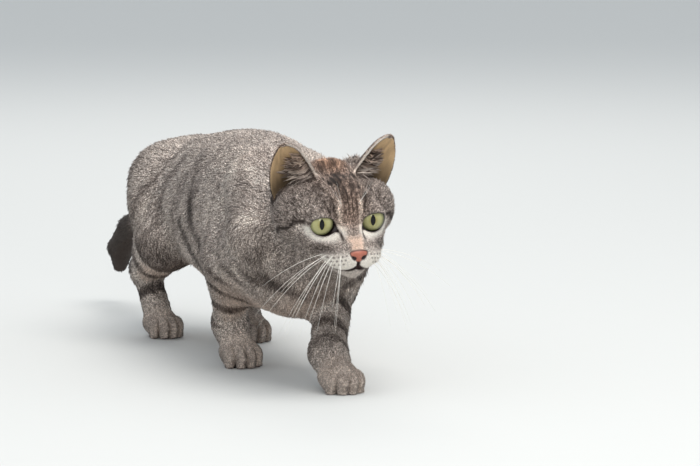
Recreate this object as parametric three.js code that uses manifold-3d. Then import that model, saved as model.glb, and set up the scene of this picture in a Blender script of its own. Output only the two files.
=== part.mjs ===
// A grey tabby cat on a slow, low walk, life size, as closed solids that meet along thin cuts.
// Millimetres, +Z up. The cat walks towards -Y and its left side is +X. The shape is one
// distance field, negative inside, that runs out to the tips of the coat. Each part is that
// field meshed on its own grid and cut from its neighbours.

import * as THREE from 'three';
import Module from 'manifold-3d';
import { mergeVertices } from 'three/addons/utils/BufferGeometryUtils.js';

const wasm = await Module();
wasm.setup();

// ---------------------------------------------------------------- driving dimensions

const GAP = 0.3;              // clearance between parts that touch
const FAR = 1200;             // size of the blocks that trim a part to a half space
const WELD = 0.02;            // corners closer than this are one corner

const EYE_RADIUS = 10.6;
const EYE_SPREAD = 21.9;      // from the middle of the head to each eye's centre
const EYE_ROOM = 0.6;         // clearance round each eye in its socket
const EAR_WALL = 3.0;
const EAR_ROOM = 1.0;         // clearance between an ear and the scalp, the coat's soft edge

const CELL = { head: 7.7, neck: 13, trunk: 16.5, leg: 9.5, paw: 8.3, tail: 10 };

// The head's own frame: its origin is midway between the eyes' centres. Its coordinates are
// (left, forward, up), turned by yaw to the left, pitch downwards and roll to lift the left.
const HEAD = { centre: [1.4, -199, 142], yaw: 2.5, pitch: 6, roll: 2.2 };

// The trunk's outline: place along the body, back, belly, half width and shift to the left.
const TRUNK = [
  { y: -118, top: 164, bottom: 82, half: 24, shift: 1 },
  { y: -104, top: 180, bottom: 63, half: 38, shift: 0 },
  { y: -80, top: 188, bottom: 53, half: 48, shift: -1 },
  { y: -45, top: 194.5, bottom: 48, half: 57, shift: -1 },
  { y: 0, top: 196, bottom: 51, half: 60, shift: -1 },
  { y: 50, top: 192.5, bottom: 58, half: 60, shift: 0 },
  { y: 100, top: 185, bottom: 68, half: 58, shift: 0 },
  { y: 145, top: 177, bottom: 82, half: 52, shift: 0 },
  { y: 180, top: 164, bottom: 98, half: 44, shift: 0 },
  { y: 205, top: 150, bottom: 112, half: 32, shift: 0 },
];
const TRUNK_TAPER = 0.16;     // how much narrower the trunk is at the back than at its middle

// The legs' joints. The left foreleg reaches forward, the right one pushes off, and the
// hind legs follow in the same order.
const LEGS = {
  fore: {
    left: { blade: [22, -66, 154], shoulder: [36, -116, 118], elbow: [36, -76, 70],
            wrist: [5, -147, 28], ball: [5, -172, 12], toes: [6, -186, 10] },
    right: { blade: [-25, -58, 162], shoulder: [-40, -108, 120], elbow: [-45, -44, 92],
             wrist: [-27, 4, 34], ball: [-25, -12, 12], toes: [-25, -26, 10] },
  },
  hind: {
    left: { hip: [27, 156, 136], knee: [45, 98, 92], hock: [37, 168, 44],
            ball: [32, 126, 12], toes: [31, 110, 10] },
    right: { hip: [-31, 160, 136], knee: [-49, 110, 90], hock: [-37, 204, 56],
             ball: [-33, 176, 12], toes: [-32, 160, 10] },
  },
};

const TAIL = [
  { at: [0, 196, 132], r: 19 },
  { at: [2, 246, 112], r: 15 },
  { at: [-1, 296, 90], r: 14 },
  { at: [-7, 338, 74], r: 14 },
  { at: [-8, 368, 54], r: 13 },
  { at: [-4, 384, 36], r: 7.5 },
];

// ---------------------------------------------------------------- vectors

const add = (a, b, scale = 1) => a.map((value, i) => value + scale * b[i]);
const mix = (a, b, t) => a.map((value, i) => value + t * (b[i] - value));
const dot = (a, b) => a[0] * b[0] + a[1] * b[1] + a[2] * b[2];
const cross = (a, b) => [
  a[1] * b[2] - a[2] * b[1], a[2] * b[0] - a[0] * b[2], a[0] * b[1] - a[1] * b[0],
];
const unit = (a) => a.map((value) => value / Math.hypot(...a));

const WORLD_AXES = [[1, 0, 0], [0, 1, 0], [0, 0, 1]];

const HEAD_AXES = (() => {
  const [yaw, pitch, roll] = [HEAD.yaw, HEAD.pitch, HEAD.roll].map(THREE.MathUtils.degToRad);
  const left = [Math.cos(yaw), Math.sin(yaw), 0];
  const forward = [
    Math.sin(yaw) * Math.cos(pitch), -Math.cos(yaw) * Math.cos(pitch), -Math.sin(pitch),
  ];
  const up = cross(forward, left);
  return [
    add(left.map((value) => value * Math.cos(roll)), up, Math.sin(roll)),
    forward,
    add(up.map((value) => value * Math.cos(roll)), left, -Math.sin(roll)),
  ];
})();

function onHead(left, forward, up) {
  const offset = [left, forward, up];
  return offset.reduce((at, amount, i) => add(at, HEAD_AXES[i], amount), HEAD.centre);
}

// ---------------------------------------------------------------- distance fields

// Two balls and the cone that wraps them.
function bone(a, b, ra, rb) {
  const axis = add(b, a, -1);
  const length2 = dot(axis, axis);
  const taper = ra - rb;
  const slope2 = length2 - taper * taper;
  return (x, y, z) => {
    const px = x - a[0], py = y - a[1], pz = z - a[2];
    const along = px * axis[0] + py * axis[1] + pz * axis[2];
    const beyond = along - length2;
    const side2 = (px * length2 - axis[0] * along) ** 2
      + (py * length2 - axis[1] * along) ** 2 + (pz * length2 - axis[2] * along) ** 2;
    const along2 = along * along * length2;
    const beyond2 = beyond * beyond * length2;
    const limit = Math.sign(taper) * taper * taper * side2;
    if (Math.sign(beyond) * slope2 * beyond2 > limit) {
      return Math.sqrt(side2 + beyond2) / length2 - rb;
    }
    if (Math.sign(along) * slope2 * along2 < limit) {
      return Math.sqrt(side2 + along2) / length2 - ra;
    }
    return (Math.sqrt(side2 * slope2 / length2) + along * taper) / length2 - ra;
  };
}

function ellipsoid(centre, radii, axes = WORLD_AXES) {
  const [u, v, w] = axes;
  return (x, y, z) => {
    const p = [x - centre[0], y - centre[1], z - centre[2]];
    const a = dot(p, u) / radii[0], b = dot(p, v) / radii[1], c = dot(p, w) / radii[2];
    const size = Math.hypot(a, b, c);
    const slope = Math.hypot(a / radii[0], b / radii[1], c / radii[2]);
    return slope > 1e-9 ? size * (size - 1) / slope : -Math.min(...radii);
  };
}

// Fields joined with a fillet of about the given size.
function blend(size, ...fields) {
  return (x, y, z) => {
    let joined = fields[0](x, y, z);
    for (let i = 1; i < fields.length; i++) {
      const next = fields[i](x, y, z);
      const near = Math.max(size - Math.abs(joined - next), 0) / size;
      joined = Math.min(joined, next) - near * near * size / 4;
    }
    return joined;
  };
}

// A smooth curve through the numbers before and after a stretch, at t from 0 to 1.
function through(p, q, r, s, t) {
  const rise = (r - p) / 2, leave = (s - q) / 2;
  return q + t * (rise + t * (3 * (r - q) - 2 * rise - leave + t * (2 * (q - r) + rise + leave)));
}

function trunkField(stations) {
  const last = stations.length - 1;
  const at = (i) => stations[Math.min(Math.max(i, 0), last)];
  return (x, y, z) => {
    const inside = Math.min(Math.max(y, stations[0].y), stations[last].y);
    let i = 0;
    while (i < last - 1 && stations[i + 1].y < inside) i++;
    const t = (inside - stations[i].y) / (stations[i + 1].y - stations[i].y);
    const [top, bottom, half, shift] = ['top', 'bottom', 'half', 'shift'].map((key) => (
      through(at(i - 1)[key], at(i)[key], at(i + 1)[key], at(i + 2)[key], t)));
    const height = (top - bottom) / 2;
    const c = (z - (top + bottom) / 2) / height;
    const a = (x - shift) / (half * (1 - TRUNK_TAPER * Math.max(-1, Math.min(c, 1))));
    const size = Math.hypot(a, c);
    const slope = Math.hypot(a / half, c / height);
    const side = slope > 1e-9 ? size * (size - 1) / slope : -Math.min(half, height);
    return Math.hypot(Math.max(side, 0), y - inside) + Math.min(side, 0);
  };
}

// ---------------------------------------------------------------- the cat's flesh and coat

const SIDES = [['left', 1], ['right', -1]];
const onBothSides = (make) => SIDES.map(([, side]) => make(side));

const trunk = blend(34,
  trunkField(TRUNK),
  ellipsoid([0, -96, 104], [40, 34, 46]),
  ellipsoid([0, 176, 128], [46, 40, 40]),
);

const neck = blend(26,
  bone([-3, -88, 143], [-1, -152, 148], 36, 29),
  bone([0, -98, 102], [0, -160, 118], 36, 27),
);

// The paw under the last bone of a leg: its pad and a row of toes, the outer two set back.
function paw(limb, { ball, toes }, pad, spread, toe) {
  const row = [-1, -0.35, 0.35, 1].map((across) => ellipsoid(
    add(toes, [across * spread, Math.abs(across) === 1 ? 5 : -1, 0]), toe));
  return blend(5, limb, ellipsoid(ball, pad), ...row);
}

function foreleg(joints) {
  const { blade, shoulder, elbow, wrist, ball } = joints;
  return blend(12,
    bone(blade, shoulder, 25, 25),
    bone(shoulder, elbow, 24, 18),
    bone(add(elbow, [0, 4, 6]), wrist, 19, 14),
    paw(bone(wrist, ball, 14, 14.5), joints, [17.5, 17, 12.5], 12, [6.2, 11, 9.5]),
  );
}

function hindleg(joints) {
  const { hip, knee, hock, ball } = joints;
  return blend(14,
    bone(hip, knee, 35, 25),
    bone(mix(hip, knee, 0.35), mix(knee, hock, 0.5), 31, 19),
    bone(knee, hock, 22, 12.5),
    paw(bone(hock, ball, 12.5, 13), joints, [16, 17, 12], 11, [6, 10.5, 9.5]),
  );
}

const tail = blend(1.5, ...TAIL.slice(1).map(({ at, r }, i) => bone(TAIL[i].at, at, TAIL[i].r, r)));

const headMass = blend(9,
  ellipsoid(onHead(0, -32, 4), [37, 42, 33], HEAD_AXES),
  ellipsoid(onHead(0, -8, 13), [25, 19, 18], HEAD_AXES),
  ellipsoid(onHead(0, -38, 14), [32, 22, 29], HEAD_AXES),
  ...onBothSides((side) => ellipsoid(onHead(27 * side, -51, 27), [12, 8, 12], HEAD_AXES)),
  ...onBothSides((side) => ellipsoid(onHead(29 * side, -27, 3), [23.5, 25, 26], HEAD_AXES)),
  ...onBothSides((side) => ellipsoid(onHead(19 * side, -6, -10), [16, 12, 15], HEAD_AXES)),
  ...onBothSides((side) => bone(onHead(21 * side, -10, -15), onHead(13 * side, 10, -22), 13, 9)),
  bone(onHead(0, -3, 0), onHead(0, 17.5, -19), 13, 9),
  ...onBothSides((side) => ellipsoid(onHead(10.5 * side, 15.5, -25), [13, 13, 10], HEAD_AXES)),
  bone(onHead(0, 12.5, -35), onHead(0, -24, -26), 9.5, 20),
);
const nose = ellipsoid(onHead(0, 25, -21.5), [7.6, 6, 5.6], HEAD_AXES);

const body = blend(16,
  blend(26, blend(30, trunk, tail), neck),
  foreleg(LEGS.fore.left), foreleg(LEGS.fore.right),
  hindleg(LEGS.hind.left), hindleg(LEGS.hind.right),
);
const cat = blend(14, body, blend(4, headMass, nose));

// ---------------------------------------------------------------- field to solid

// One vertex for each grid cell that the surface crosses, then drawn onto the surface.
function meshField(field, low, high, cell) {
  const count = low.map((value, i) => Math.ceil((high[i] - value) / cell) + 1);
  const place = (i, axis) => low[axis] + i * cell;
  const index = (i, j, k) => (i * count[1] + j) * count[2] + k;
  const values = new Float64Array(count[0] * count[1] * count[2]);
  for (let i = 0; i < count[0]; i++) {
    for (let j = 0; j < count[1]; j++) {
      for (let k = 0; k < count[2]; k++) {
        const onEdge = [i, j, k].some((n, axis) => n === 0 || n === count[axis] - 1);
        const value = field(place(i, 0), place(j, 1), place(k, 2));
        values[index(i, j, k)] = onEdge ? Math.max(value, 0.01) : value;
      }
    }
  }
  settle(values, count, index);
  const positions = [];
  const vertexOf = new Map();
  for (let i = 0; i < count[0] - 1; i++) {
    for (let j = 0; j < count[1] - 1; j++) {
      for (let k = 0; k < count[2] - 1; k++) {
        const corner = (n) => [n & 1, (n >> 1) & 1, (n >> 2) & 1];
        const sum = [0, 0, 0];
        let crossings = 0;
        for (let n = 0; n < 8; n++) {
          for (const bit of [1, 2, 4]) {
            if (n & bit) continue;
            const [a, b] = [corner(n), corner(n | bit)];
            const va = values[index(i + a[0], j + a[1], k + a[2])];
            const vb = values[index(i + b[0], j + b[1], k + b[2])];
            if ((va < 0) === (vb < 0)) continue;
            const t = va / (va - vb);
            sum.forEach((_, axis) => { sum[axis] += a[axis] + t * (b[axis] - a[axis]); });
            crossings++;
          }
        }
        if (!crossings) continue;
        vertexOf.set(index(i, j, k), positions.length);
        positions.push([i, j, k].map((n, axis) => place(n + sum[axis] / crossings, axis)));
      }
    }
  }
  const faces = [];
  for (let i = 0; i < count[0] - 1; i++) {
    for (let j = 0; j < count[1] - 1; j++) {
      for (let k = 0; k < count[2] - 1; k++) {
        const here = values[index(i, j, k)];
        for (let axis = 0; axis < 3; axis++) {
          const step = [0, 0, 0];
          step[axis] = 1;
          const next = values[index(i + step[0], j + step[1], k + step[2])];
          const [u, v] = [(axis + 1) % 3, (axis + 2) % 3];
          if ((here < 0) === (next < 0) || !([i, j, k][u] && [i, j, k][v])) continue;
          const ring = [[0, 0], [1, 0], [1, 1], [0, 1]].map(([du, dv]) => {
            const at = [i, j, k];
            at[u] -= du;
            at[v] -= dv;
            return vertexOf.get(index(...at));
          });
          if (here >= 0) ring.reverse();
          faces.push(ring);
        }
      }
    }
  }
  relax(field, positions, faces, cell);
  const indices = faces.flatMap(([a, b, c, d]) => {
    const [pa, pb, pc, pd] = [a, b, c, d].map((n) => positions[n]);
    return Math.hypot(...add(pa, pc, -1)) < Math.hypot(...add(pb, pd, -1))
      ? [a, b, c, a, c, d] : [a, b, d, b, c, d];
  });
  return { positions, indices };
}

// Where the corners of a grid face lie in and out by turns, the one nearest the surface
// changes sides, so that the mesh never touches itself along an edge.
function settle(values, count, index) {
  const passes = 4;
  for (let pass = 0; pass < passes; pass++) {
    for (let i = 0; i < count[0] - 1; i++) {
      for (let j = 0; j < count[1] - 1; j++) {
        for (let k = 0; k < count[2] - 1; k++) {
          for (const [u, v] of [[0, 1], [1, 2], [2, 0]]) {
            const ring = [[0, 0], [1, 0], [1, 1], [0, 1]].map(([du, dv]) => {
              const at = [i, j, k];
              at[u] += du;
              at[v] += dv;
              return index(...at);
            });
            const inside = ring.map((n) => values[n] < 0);
            const byTurns = inside[0] === inside[2] && inside[1] === inside[3]
              && inside[0] !== inside[1];
            if (!byTurns) continue;
            const nearest = ring.reduce((best, n) => (
              Math.abs(values[n]) < Math.abs(values[best]) ? n : best));
            values[nearest] = values[nearest] < 0 ? 0.01 : -0.01;
          }
        }
      }
    }
  }
}

// Slides the vertices towards the middle of their neighbours and back onto the surface.
function relax(field, positions, faces, cell) {
  const rounds = 4;
  for (let round = 0; round <= rounds; round++) {
    if (round) {
      const sums = positions.map(() => [0, 0, 0, 0]);
      for (const face of faces) {
        face.forEach((n, side) => {
          for (const m of [face[(side + 1) % 4], face[(side + 3) % 4]]) {
            positions[m].forEach((value, axis) => { sums[n][axis] += value; });
            sums[n][3]++;
          }
        });
      }
      sums.forEach(([x, y, z, n], at) => {
        positions[at] = mix(positions[at], [x / n, y / n, z / n], 0.5);
      });
    }
    positions.forEach((point, at) => { positions[at] = toSurface(field, point, cell / 2); });
  }
}

function toSurface(field, start, reach) {
  let point = start;
  const step = 0.05;
  for (let round = 0; round < 4; round++) {
    const value = field(...point);
    const slope = point.map((_, axis) => {
      const ahead = [...point], behind = [...point];
      ahead[axis] += step;
      behind[axis] -= step;
      return (field(...ahead) - field(...behind)) / (2 * step);
    });
    const steep = Math.max(dot(slope, slope), 0.05);
    const move = Math.max(-reach, Math.min(reach, -value / Math.sqrt(steep)));
    point = add(point, slope, move / Math.sqrt(steep));
  }
  return point;
}

function toSolid(positions, indices) {
  return new wasm.Manifold(new wasm.Mesh({
    numProp: 3,
    vertProperties: new Float32Array(positions.flat()),
    triVerts: new Uint32Array(indices),
  }));
}

function solidOf(geometry) {
  geometry.deleteAttribute('normal');
  geometry.deleteAttribute('uv');
  const merged = mergeVertices(geometry);
  const { array } = merged.getAttribute('position');
  return new wasm.Manifold(new wasm.Mesh({
    numProp: 3,
    vertProperties: new Float32Array(array),
    triVerts: new Uint32Array(merged.index.array),
  }));
}

// The block of all that lies behind a plane, out to FAR.
function behind({ at, normal }, shift) {
  const geometry = new THREE.BoxGeometry(FAR, FAR, FAR);
  const direction = new THREE.Vector3(...unit(normal));
  const turn = new THREE.Quaternion().setFromUnitVectors(new THREE.Vector3(0, 0, 1), direction);
  geometry.applyQuaternion(turn);
  const centre = add(at, unit(normal), shift - FAR / 2);
  geometry.translate(...centre);
  return solidOf(geometry);
}

const flip = ({ at, normal }) => ({ at, normal: normal.map((value) => -value) });

function box({ low, high }, grow) {
  const size = high.map((value, axis) => value - low[axis] + 2 * grow);
  const geometry = new THREE.BoxGeometry(...size);
  geometry.translate(...mix(low, high, 0.5));
  return solidOf(geometry);
}

// A round post with flat ends, for cutting a limb square across.
function post({ from, to, radius }, grow) {
  const along = add(to, from, -1);
  const length = Math.hypot(...along) + 2 * grow;
  const geometry = new THREE.CylinderGeometry(radius + grow, radius + grow, length, 16);
  geometry.applyQuaternion(new THREE.Quaternion().setFromUnitVectors(
    new THREE.Vector3(0, 1, 0), new THREE.Vector3(...unit(along))));
  geometry.translate(...mix(from, to, 0.5));
  return solidOf(geometry);
}

function largest(solid) {
  return solid.decompose().reduce((best, piece) => (
    piece.volume() > best.volume() ? piece : best));
}

function ball(centre, radius) {
  const geometry = new THREE.SphereGeometry(radius, 16, 10);
  geometry.translate(...centre);
  return solidOf(geometry);
}

// ---------------------------------------------------------------- cuts

const FLOOR = { at: [0, 0, -GAP / 2], normal: [0, 0, 1] };
const HEAD_CUT = { at: [-1, -150, 140], normal: [0, -1, 0.15] };
const NECK_CUT = { at: [0, -98, 120], normal: [0, -1, 0.45] };
const RIBS_CUT = { at: [0, 28, 120], normal: [0, -1, 0] };
const LOIN_CUT = { at: [0, 112, 120], normal: [0, -1, 0.1] };
const TAIL_CUTS = [0.7, 2, 3, 4].map((place) => {
  const i = Math.floor(place);
  const [a, b] = [TAIL[i].at, TAIL[i + 1].at];
  const before = place === i ? TAIL[i - 1].at : a;
  return { at: mix(a, b, place - i), normal: unit(add(before, b, -1)) };
});

// Each leg's parts keep to a post round its lower bone and a box round its foot, and the
// ankle's plane parts the leg from the paw.
const LOWER_LEGS = {
  foreleg_left: {
    sleeve: { from: [20.5, -111.5, 49], to: [0, -159, 21], radius: 23 },
    foot: { low: [-24, -215, -5], high: [34, -138, 40] },
    ankle: { at: [6, -147, 30], normal: [0.1, 0.6, 0.8] },
  },
  foreleg_right: {
    sleeve: { from: [-32, -6, 50], to: [-32, -6, 20], radius: 36 },
    foot: { low: [-56, -50, -5], high: [-2, 26, 40] },
    ankle: { at: [-33, 6, 32], normal: [0, 0.3, 1] },
  },
  hindleg_left: {
    sleeve: { from: [40, 142, 60], to: [35, 184, 33.5], radius: 26 },
    foot: { low: [8, 84, -5], high: [58, 170, 40] },
    ankle: { at: [36, 160, 36], normal: [0, 0.75, 0.65] },
  },
  hindleg_right: {
    sleeve: { from: [-42, 168, 68], to: [-35, 221, 50.5], radius: 26 },
    foot: { low: [-58, 130, -5], high: [-8, 216, 42] },
    ankle: { at: [-36, 200, 42], normal: [0, 0.5, 0.85] },
  },
};

const lowerLeg = ({ sleeve, foot }, grow) => post(sleeve, grow).add(box(foot, grow));

// ---------------------------------------------------------------- ears

// An ear is a cup in a frame of its own: across from its inner to its outer edge, up from its
// base and back from its mouth. Each edge is a start, a lean and a bow along the ear's height.
const EAR = {
  base: [31.5, -28, 22.5], inner: [15.8, -21, 33], tip: [42, -15.5, 62.6],
  innerEdge: [-20, -0.15, 0.0045], outerEdge: [20, -0.17, -0.0105],
  root: -7, shoulder: 26, height: 41, depth: 14, mouthHeight: 55,
};

function earPoint(side, up, across, layer) {
  const { base, inner, tip } = EAR;
  const a = unit(add(base, inner, -1));
  const rise = add(tip, base, -1);
  const b = unit(add(rise, a, -dot(rise, a)));
  const c = cross(a, b);
  const [from, to] = [EAR.innerEdge, EAR.outerEdge].map(([start, lean, bow]) => (
    start + lean * up + bow * up * up));
  const cap = Math.max(0, (up - EAR.shoulder) / (EAR.height - EAR.shoulder));
  const half = (to - from) / 2 * Math.sqrt(1 - cap * cap);
  const hollow = EAR.depth * (1 - Math.max(up, 0) / EAR.mouthHeight) * (1 - across * across);
  const wall = layer * EAR_WALL * (1 - 0.6 * across ** 4);
  const at = [0, 1, 2].map((i) => base[i] + a[i] * ((from + to) / 2 + half * across)
    + b[i] * up + c[i] * (hollow + wall));
  return onHead(side * at[0], at[1], at[2]);
}

function ear(side) {
  const rows = 8, columns = 8;
  const positions = [];
  const at = (i, j, layer) => (layer * (rows + 1) + i) * (columns + 1) + j;
  for (const layer of [0, 1]) {
    for (let i = 0; i <= rows; i++) {
      const up = EAR.root + (EAR.height - 0.15 - EAR.root) * Math.sin(i / rows * Math.PI / 2);
      for (let j = 0; j <= columns; j++) {
        positions.push(earPoint(side, up, 2 * j / columns - 1, layer));
      }
    }
  }
  const faces = [];
  const quad = (...q) => faces.push(q[0], q[1], q[2], q[0], q[2], q[3]);
  for (let i = 0; i < rows; i++) {
    for (let j = 0; j < columns; j++) {
      quad(at(i, j, 0), at(i, j + 1, 0), at(i + 1, j + 1, 0), at(i + 1, j, 0));
      quad(at(i, j, 1), at(i + 1, j, 1), at(i + 1, j + 1, 1), at(i, j + 1, 1));
    }
    quad(at(i, 0, 0), at(i + 1, 0, 0), at(i + 1, 0, 1), at(i, 0, 1));
    quad(at(i, columns, 0), at(i, columns, 1), at(i + 1, columns, 1), at(i + 1, columns, 0));
  }
  for (let j = 0; j < columns; j++) {
    quad(at(0, j, 0), at(0, j, 1), at(0, j + 1, 1), at(0, j + 1, 0));
    quad(at(rows, j, 0), at(rows, j + 1, 0), at(rows, j + 1, 1), at(rows, j, 1));
  }
  if (side < 0) faces.reverse();
  return toSolid(positions, faces);
}

// ---------------------------------------------------------------- parts

const COAT = [0x8f8780, 0.92];
const EYE = [0xa8ad62, 0.1];

const parts = new THREE.Group();

function place(name, solid, [color, roughness] = COAT) {
  const mesh = largest(solid).getMesh();
  const cut = new THREE.BufferGeometry();
  const corners = new Float32Array(mesh.vertProperties);
  cut.setAttribute('position', new THREE.BufferAttribute(corners, 3));
  cut.setIndex(new THREE.BufferAttribute(new Uint32Array(mesh.triVerts), 1));
  const geometry = mergeVertices(cut, WELD);
  const index = Array.from(geometry.index.array);
  const faces = index.map((_, i) => index.slice(i, i + 3)).filter((face, i) => (
    i % 3 === 0 && new Set(face).size === 3));
  geometry.setIndex(faces.flat());
  geometry.computeVertexNormals();
  const part = new THREE.Mesh(geometry, new THREE.MeshStandardMaterial({ color, roughness }));
  part.name = name;
  parts.add(part);
}

// Meshes a field between two corners of the grid and cuts away what lies behind each plane.
function slice(field, low, high, cell, planes) {
  const { positions, indices } = meshField(field, low, high, cell);
  return planes.reduce((solid, plane) => solid.subtract(behind(plane, GAP / 2)),
    toSolid(positions, indices));
}

function placeHead() {
  const low = [-62, -245, 70], high = [62, -128, 200];
  const eyeCentre = (side) => onHead(EYE_SPREAD * side, 0, 0);
  const head = slice(cat, low, high, CELL.head, [HEAD_CUT]);
  place('head', SIDES.reduce((solid, [, side]) => (
    solid.subtract(ball(eyeCentre(side), EYE_RADIUS + EYE_ROOM))), head));
  const scalp = slice((x, y, z) => cat(x, y, z) - EAR_ROOM, low, high, CELL.head, []);
  for (const [name, side] of SIDES) {
    place(`eye_${name}`, ball(eyeCentre(side), EYE_RADIUS), EYE);
    place(`ear_${name}`, ear(side).subtract(scalp));
  }
}

function placeTrunk() {
  const legs = Object.values(LOWER_LEGS).map((leg) => lowerLeg(leg, GAP));
  const ring = (name, y0, y1, cell, planes) => {
    const whole = slice(cat, [-90, y0, 20], [90, y1, 215], cell, planes);
    place(name, legs.reduce((solid, leg) => solid.subtract(leg), whole));
  };
  ring('neck', -185, -60, CELL.neck, [flip(HEAD_CUT), NECK_CUT]);
  ring('chest', -150, 50, CELL.trunk, [flip(NECK_CUT), RIBS_CUT]);
  ring('abdomen', 5, 140, CELL.trunk, [flip(RIBS_CUT), LOIN_CUT]);
  ring('rump', 90, 260, CELL.trunk, [flip(LOIN_CUT), TAIL_CUTS[0]]);
}

function placeTail() {
  TAIL_CUTS.forEach((plane, i) => {
    const planes = [flip(plane), ...TAIL_CUTS.slice(i + 1, i + 2)];
    place(`tail_${i + 1}`, slice(tail, [-50, 190, 5], [40, 420, 170], CELL.tail, planes));
  });
}

function placeLegs() {
  for (const [name, leg] of Object.entries(LOWER_LEGS)) {
    const { foot: { low, high }, ankle } = leg;
    const from = [low[0] - 14, low[1] - 8, -12];
    const shin = slice(cat, from, [high[0] + 22, high[1] + 48, 98], CELL.leg, [FLOOR, ankle]);
    place(name, shin.intersect(lowerLeg(leg, 0)));
    const foot = slice(cat, from, [high[0] + 22, high[1] + 28, 60], CELL.paw,
      [FLOOR, flip(ankle)]);
    place(name.replace('leg', 'paw'), foot.intersect(lowerLeg(leg, 0)));
  }
}

placeHead();
placeTrunk();
placeTail();
placeLegs();

// The origin is under the middle of the whole cat, on the floor.
const extent = new THREE.Box3().setFromObject(parts);
const middle = extent.getCenter(new THREE.Vector3());
parts.children.forEach(({ geometry }) => {
  geometry.translate(-middle.x, -middle.y, -extent.min.z);
});

export default parts;
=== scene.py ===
"""Looks of a grey tabby cat in a low, slow walk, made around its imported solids.

One skin lies under the whole coat, and tufts of fur lie over it. Both read their colours
from the same markings. Lengths are in millimetres in the cat's own frame, +Z up, walking
towards -Y with its left side at +X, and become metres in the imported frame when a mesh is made.
"""

from __future__ import annotations

import logging
import math
from dataclasses import dataclass, field, replace
from enum import Enum
from typing import Callable, Iterable, Sequence

import bpy
import numpy as np
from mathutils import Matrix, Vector


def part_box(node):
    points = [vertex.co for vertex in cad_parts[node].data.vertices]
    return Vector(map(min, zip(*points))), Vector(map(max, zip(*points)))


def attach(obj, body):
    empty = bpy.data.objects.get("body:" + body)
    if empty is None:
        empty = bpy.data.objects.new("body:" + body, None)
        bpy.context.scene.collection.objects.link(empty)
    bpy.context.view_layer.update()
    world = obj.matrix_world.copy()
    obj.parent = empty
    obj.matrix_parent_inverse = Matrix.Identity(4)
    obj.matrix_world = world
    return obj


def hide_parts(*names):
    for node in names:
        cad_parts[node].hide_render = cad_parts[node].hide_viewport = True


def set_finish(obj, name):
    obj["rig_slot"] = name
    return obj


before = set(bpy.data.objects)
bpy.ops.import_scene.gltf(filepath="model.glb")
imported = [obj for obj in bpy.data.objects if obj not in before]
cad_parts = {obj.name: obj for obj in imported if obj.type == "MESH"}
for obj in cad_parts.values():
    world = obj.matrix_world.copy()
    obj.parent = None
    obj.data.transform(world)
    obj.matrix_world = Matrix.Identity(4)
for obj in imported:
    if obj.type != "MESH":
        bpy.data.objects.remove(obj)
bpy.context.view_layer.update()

LOG = logging.getLogger("tabby")
Points = np.ndarray
Values = np.ndarray
Triple = tuple[float, float, float]
Pair = tuple[float, float]
RNG_SEED = 7
MILLIMETRE = 0.001
FAR = 60.0
OFF = 20.0
TINY = 1e-9


class Side(Enum):
    """Which side of the cat a piece is on, as the sign of its X."""

    LEFT = 1
    RIGHT = -1

    @property
    def word(self) -> str:
        """The side's name in lower case."""
        return self.name.lower()


# ------------------------------------------------------------------ numbers and distances


def unit(v: Points) -> Points:
    """Vectors scaled to length one, along the last axis."""
    return v / np.maximum(np.linalg.norm(v, axis=-1, keepdims=True), TINY)


def ramp(value: Values, low: float, high: float) -> Values:
    """A smooth step from 0 at low to 1 at high, falling where high is below low."""
    t = np.clip((value - low) / (high - low), 0, 1)
    return t * t * (3 - 2 * t)


def bump(value: Values, centre: float, width: float) -> Values:
    """A smooth hill, 1 at the centre and near 0 two widths away."""
    return np.exp(-(((value - centre) / width) ** 2))


def bone(p: Points, a: Sequence[float], b: Sequence[float], ra: float, rb: float) -> Values:
    """Distance to two balls and the cone that wraps them.

    Args:
        p: Places to measure at.
        a: Centre of the first ball.
        b: Centre of the second ball.
        ra: Radius of the first ball.
        rb: Radius of the second ball.

    Returns:
        The signed distance, negative inside.
    """
    start, axis = np.asarray(a, float), np.subtract(b, a).astype(float)
    length2, taper = float(axis @ axis), ra - rb
    slope2 = length2 - taper * taper
    rel = p - start
    along = rel @ axis
    beyond = along - length2
    side2 = np.maximum((rel * rel).sum(1) - along * along / length2, 0) * length2 * length2
    limit = np.sign(taper) * taper * taper * side2
    past = np.sign(beyond) * slope2 * beyond * beyond * length2 > limit
    before = np.sign(along) * slope2 * along * along * length2 < limit
    middle = (np.sqrt(side2 * slope2 / length2) + along * taper) / length2 - ra
    last = np.sqrt(side2 + beyond * beyond * length2) / length2 - rb
    first = np.sqrt(side2 + along * along * length2) / length2 - ra
    return np.where(past, last, np.where(before, first, middle))


def scaled(size: Values, slope: Values, inmost: Values | float) -> Values:
    """Distance, near enough, to a form that has to grow to a size to reach each place.

    Args:
        size: How many times its own size the form would be.
        slope: How fast that size changes with the place, over the size.
        inmost: The distance at the form's middle, where the slope is none.

    Returns:
        The signed distances.
    """
    return np.where(slope > TINY, size * (size - 1) / np.maximum(slope, TINY), inmost)


def ellipsoid(p: Points, centre: Sequence[float], radii: Sequence[float]) -> Values:
    """Distance, near enough, to an ellipsoid along the axes of p's own frame."""
    rel, r = p - np.asarray(centre, float), np.asarray(radii, float)
    size = np.sqrt(((rel / r) ** 2).sum(1))
    return scaled(size, np.sqrt(((rel / (r * r)) ** 2).sum(1)), -r.min())


def blend(size: float, *fields: Values) -> Values:
    """Distances joined with a fillet of about the given size.

    Args:
        size: How wide the fillet is.
        *fields: The distances, in the order they are joined.

    Returns:
        The joined distance.
    """
    joined = fields[0]
    for value in fields[1:]:
        near = np.maximum(size - np.abs(joined - value), 0) / size
        joined = np.minimum(joined, value) - near * near * size / 4
    return joined


def carve(size: float, base: Values, cutter: Values) -> Values:
    """The base with the cutter taken away, its edge rounded by the given size."""
    return -blend(size, -base, cutter)


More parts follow.
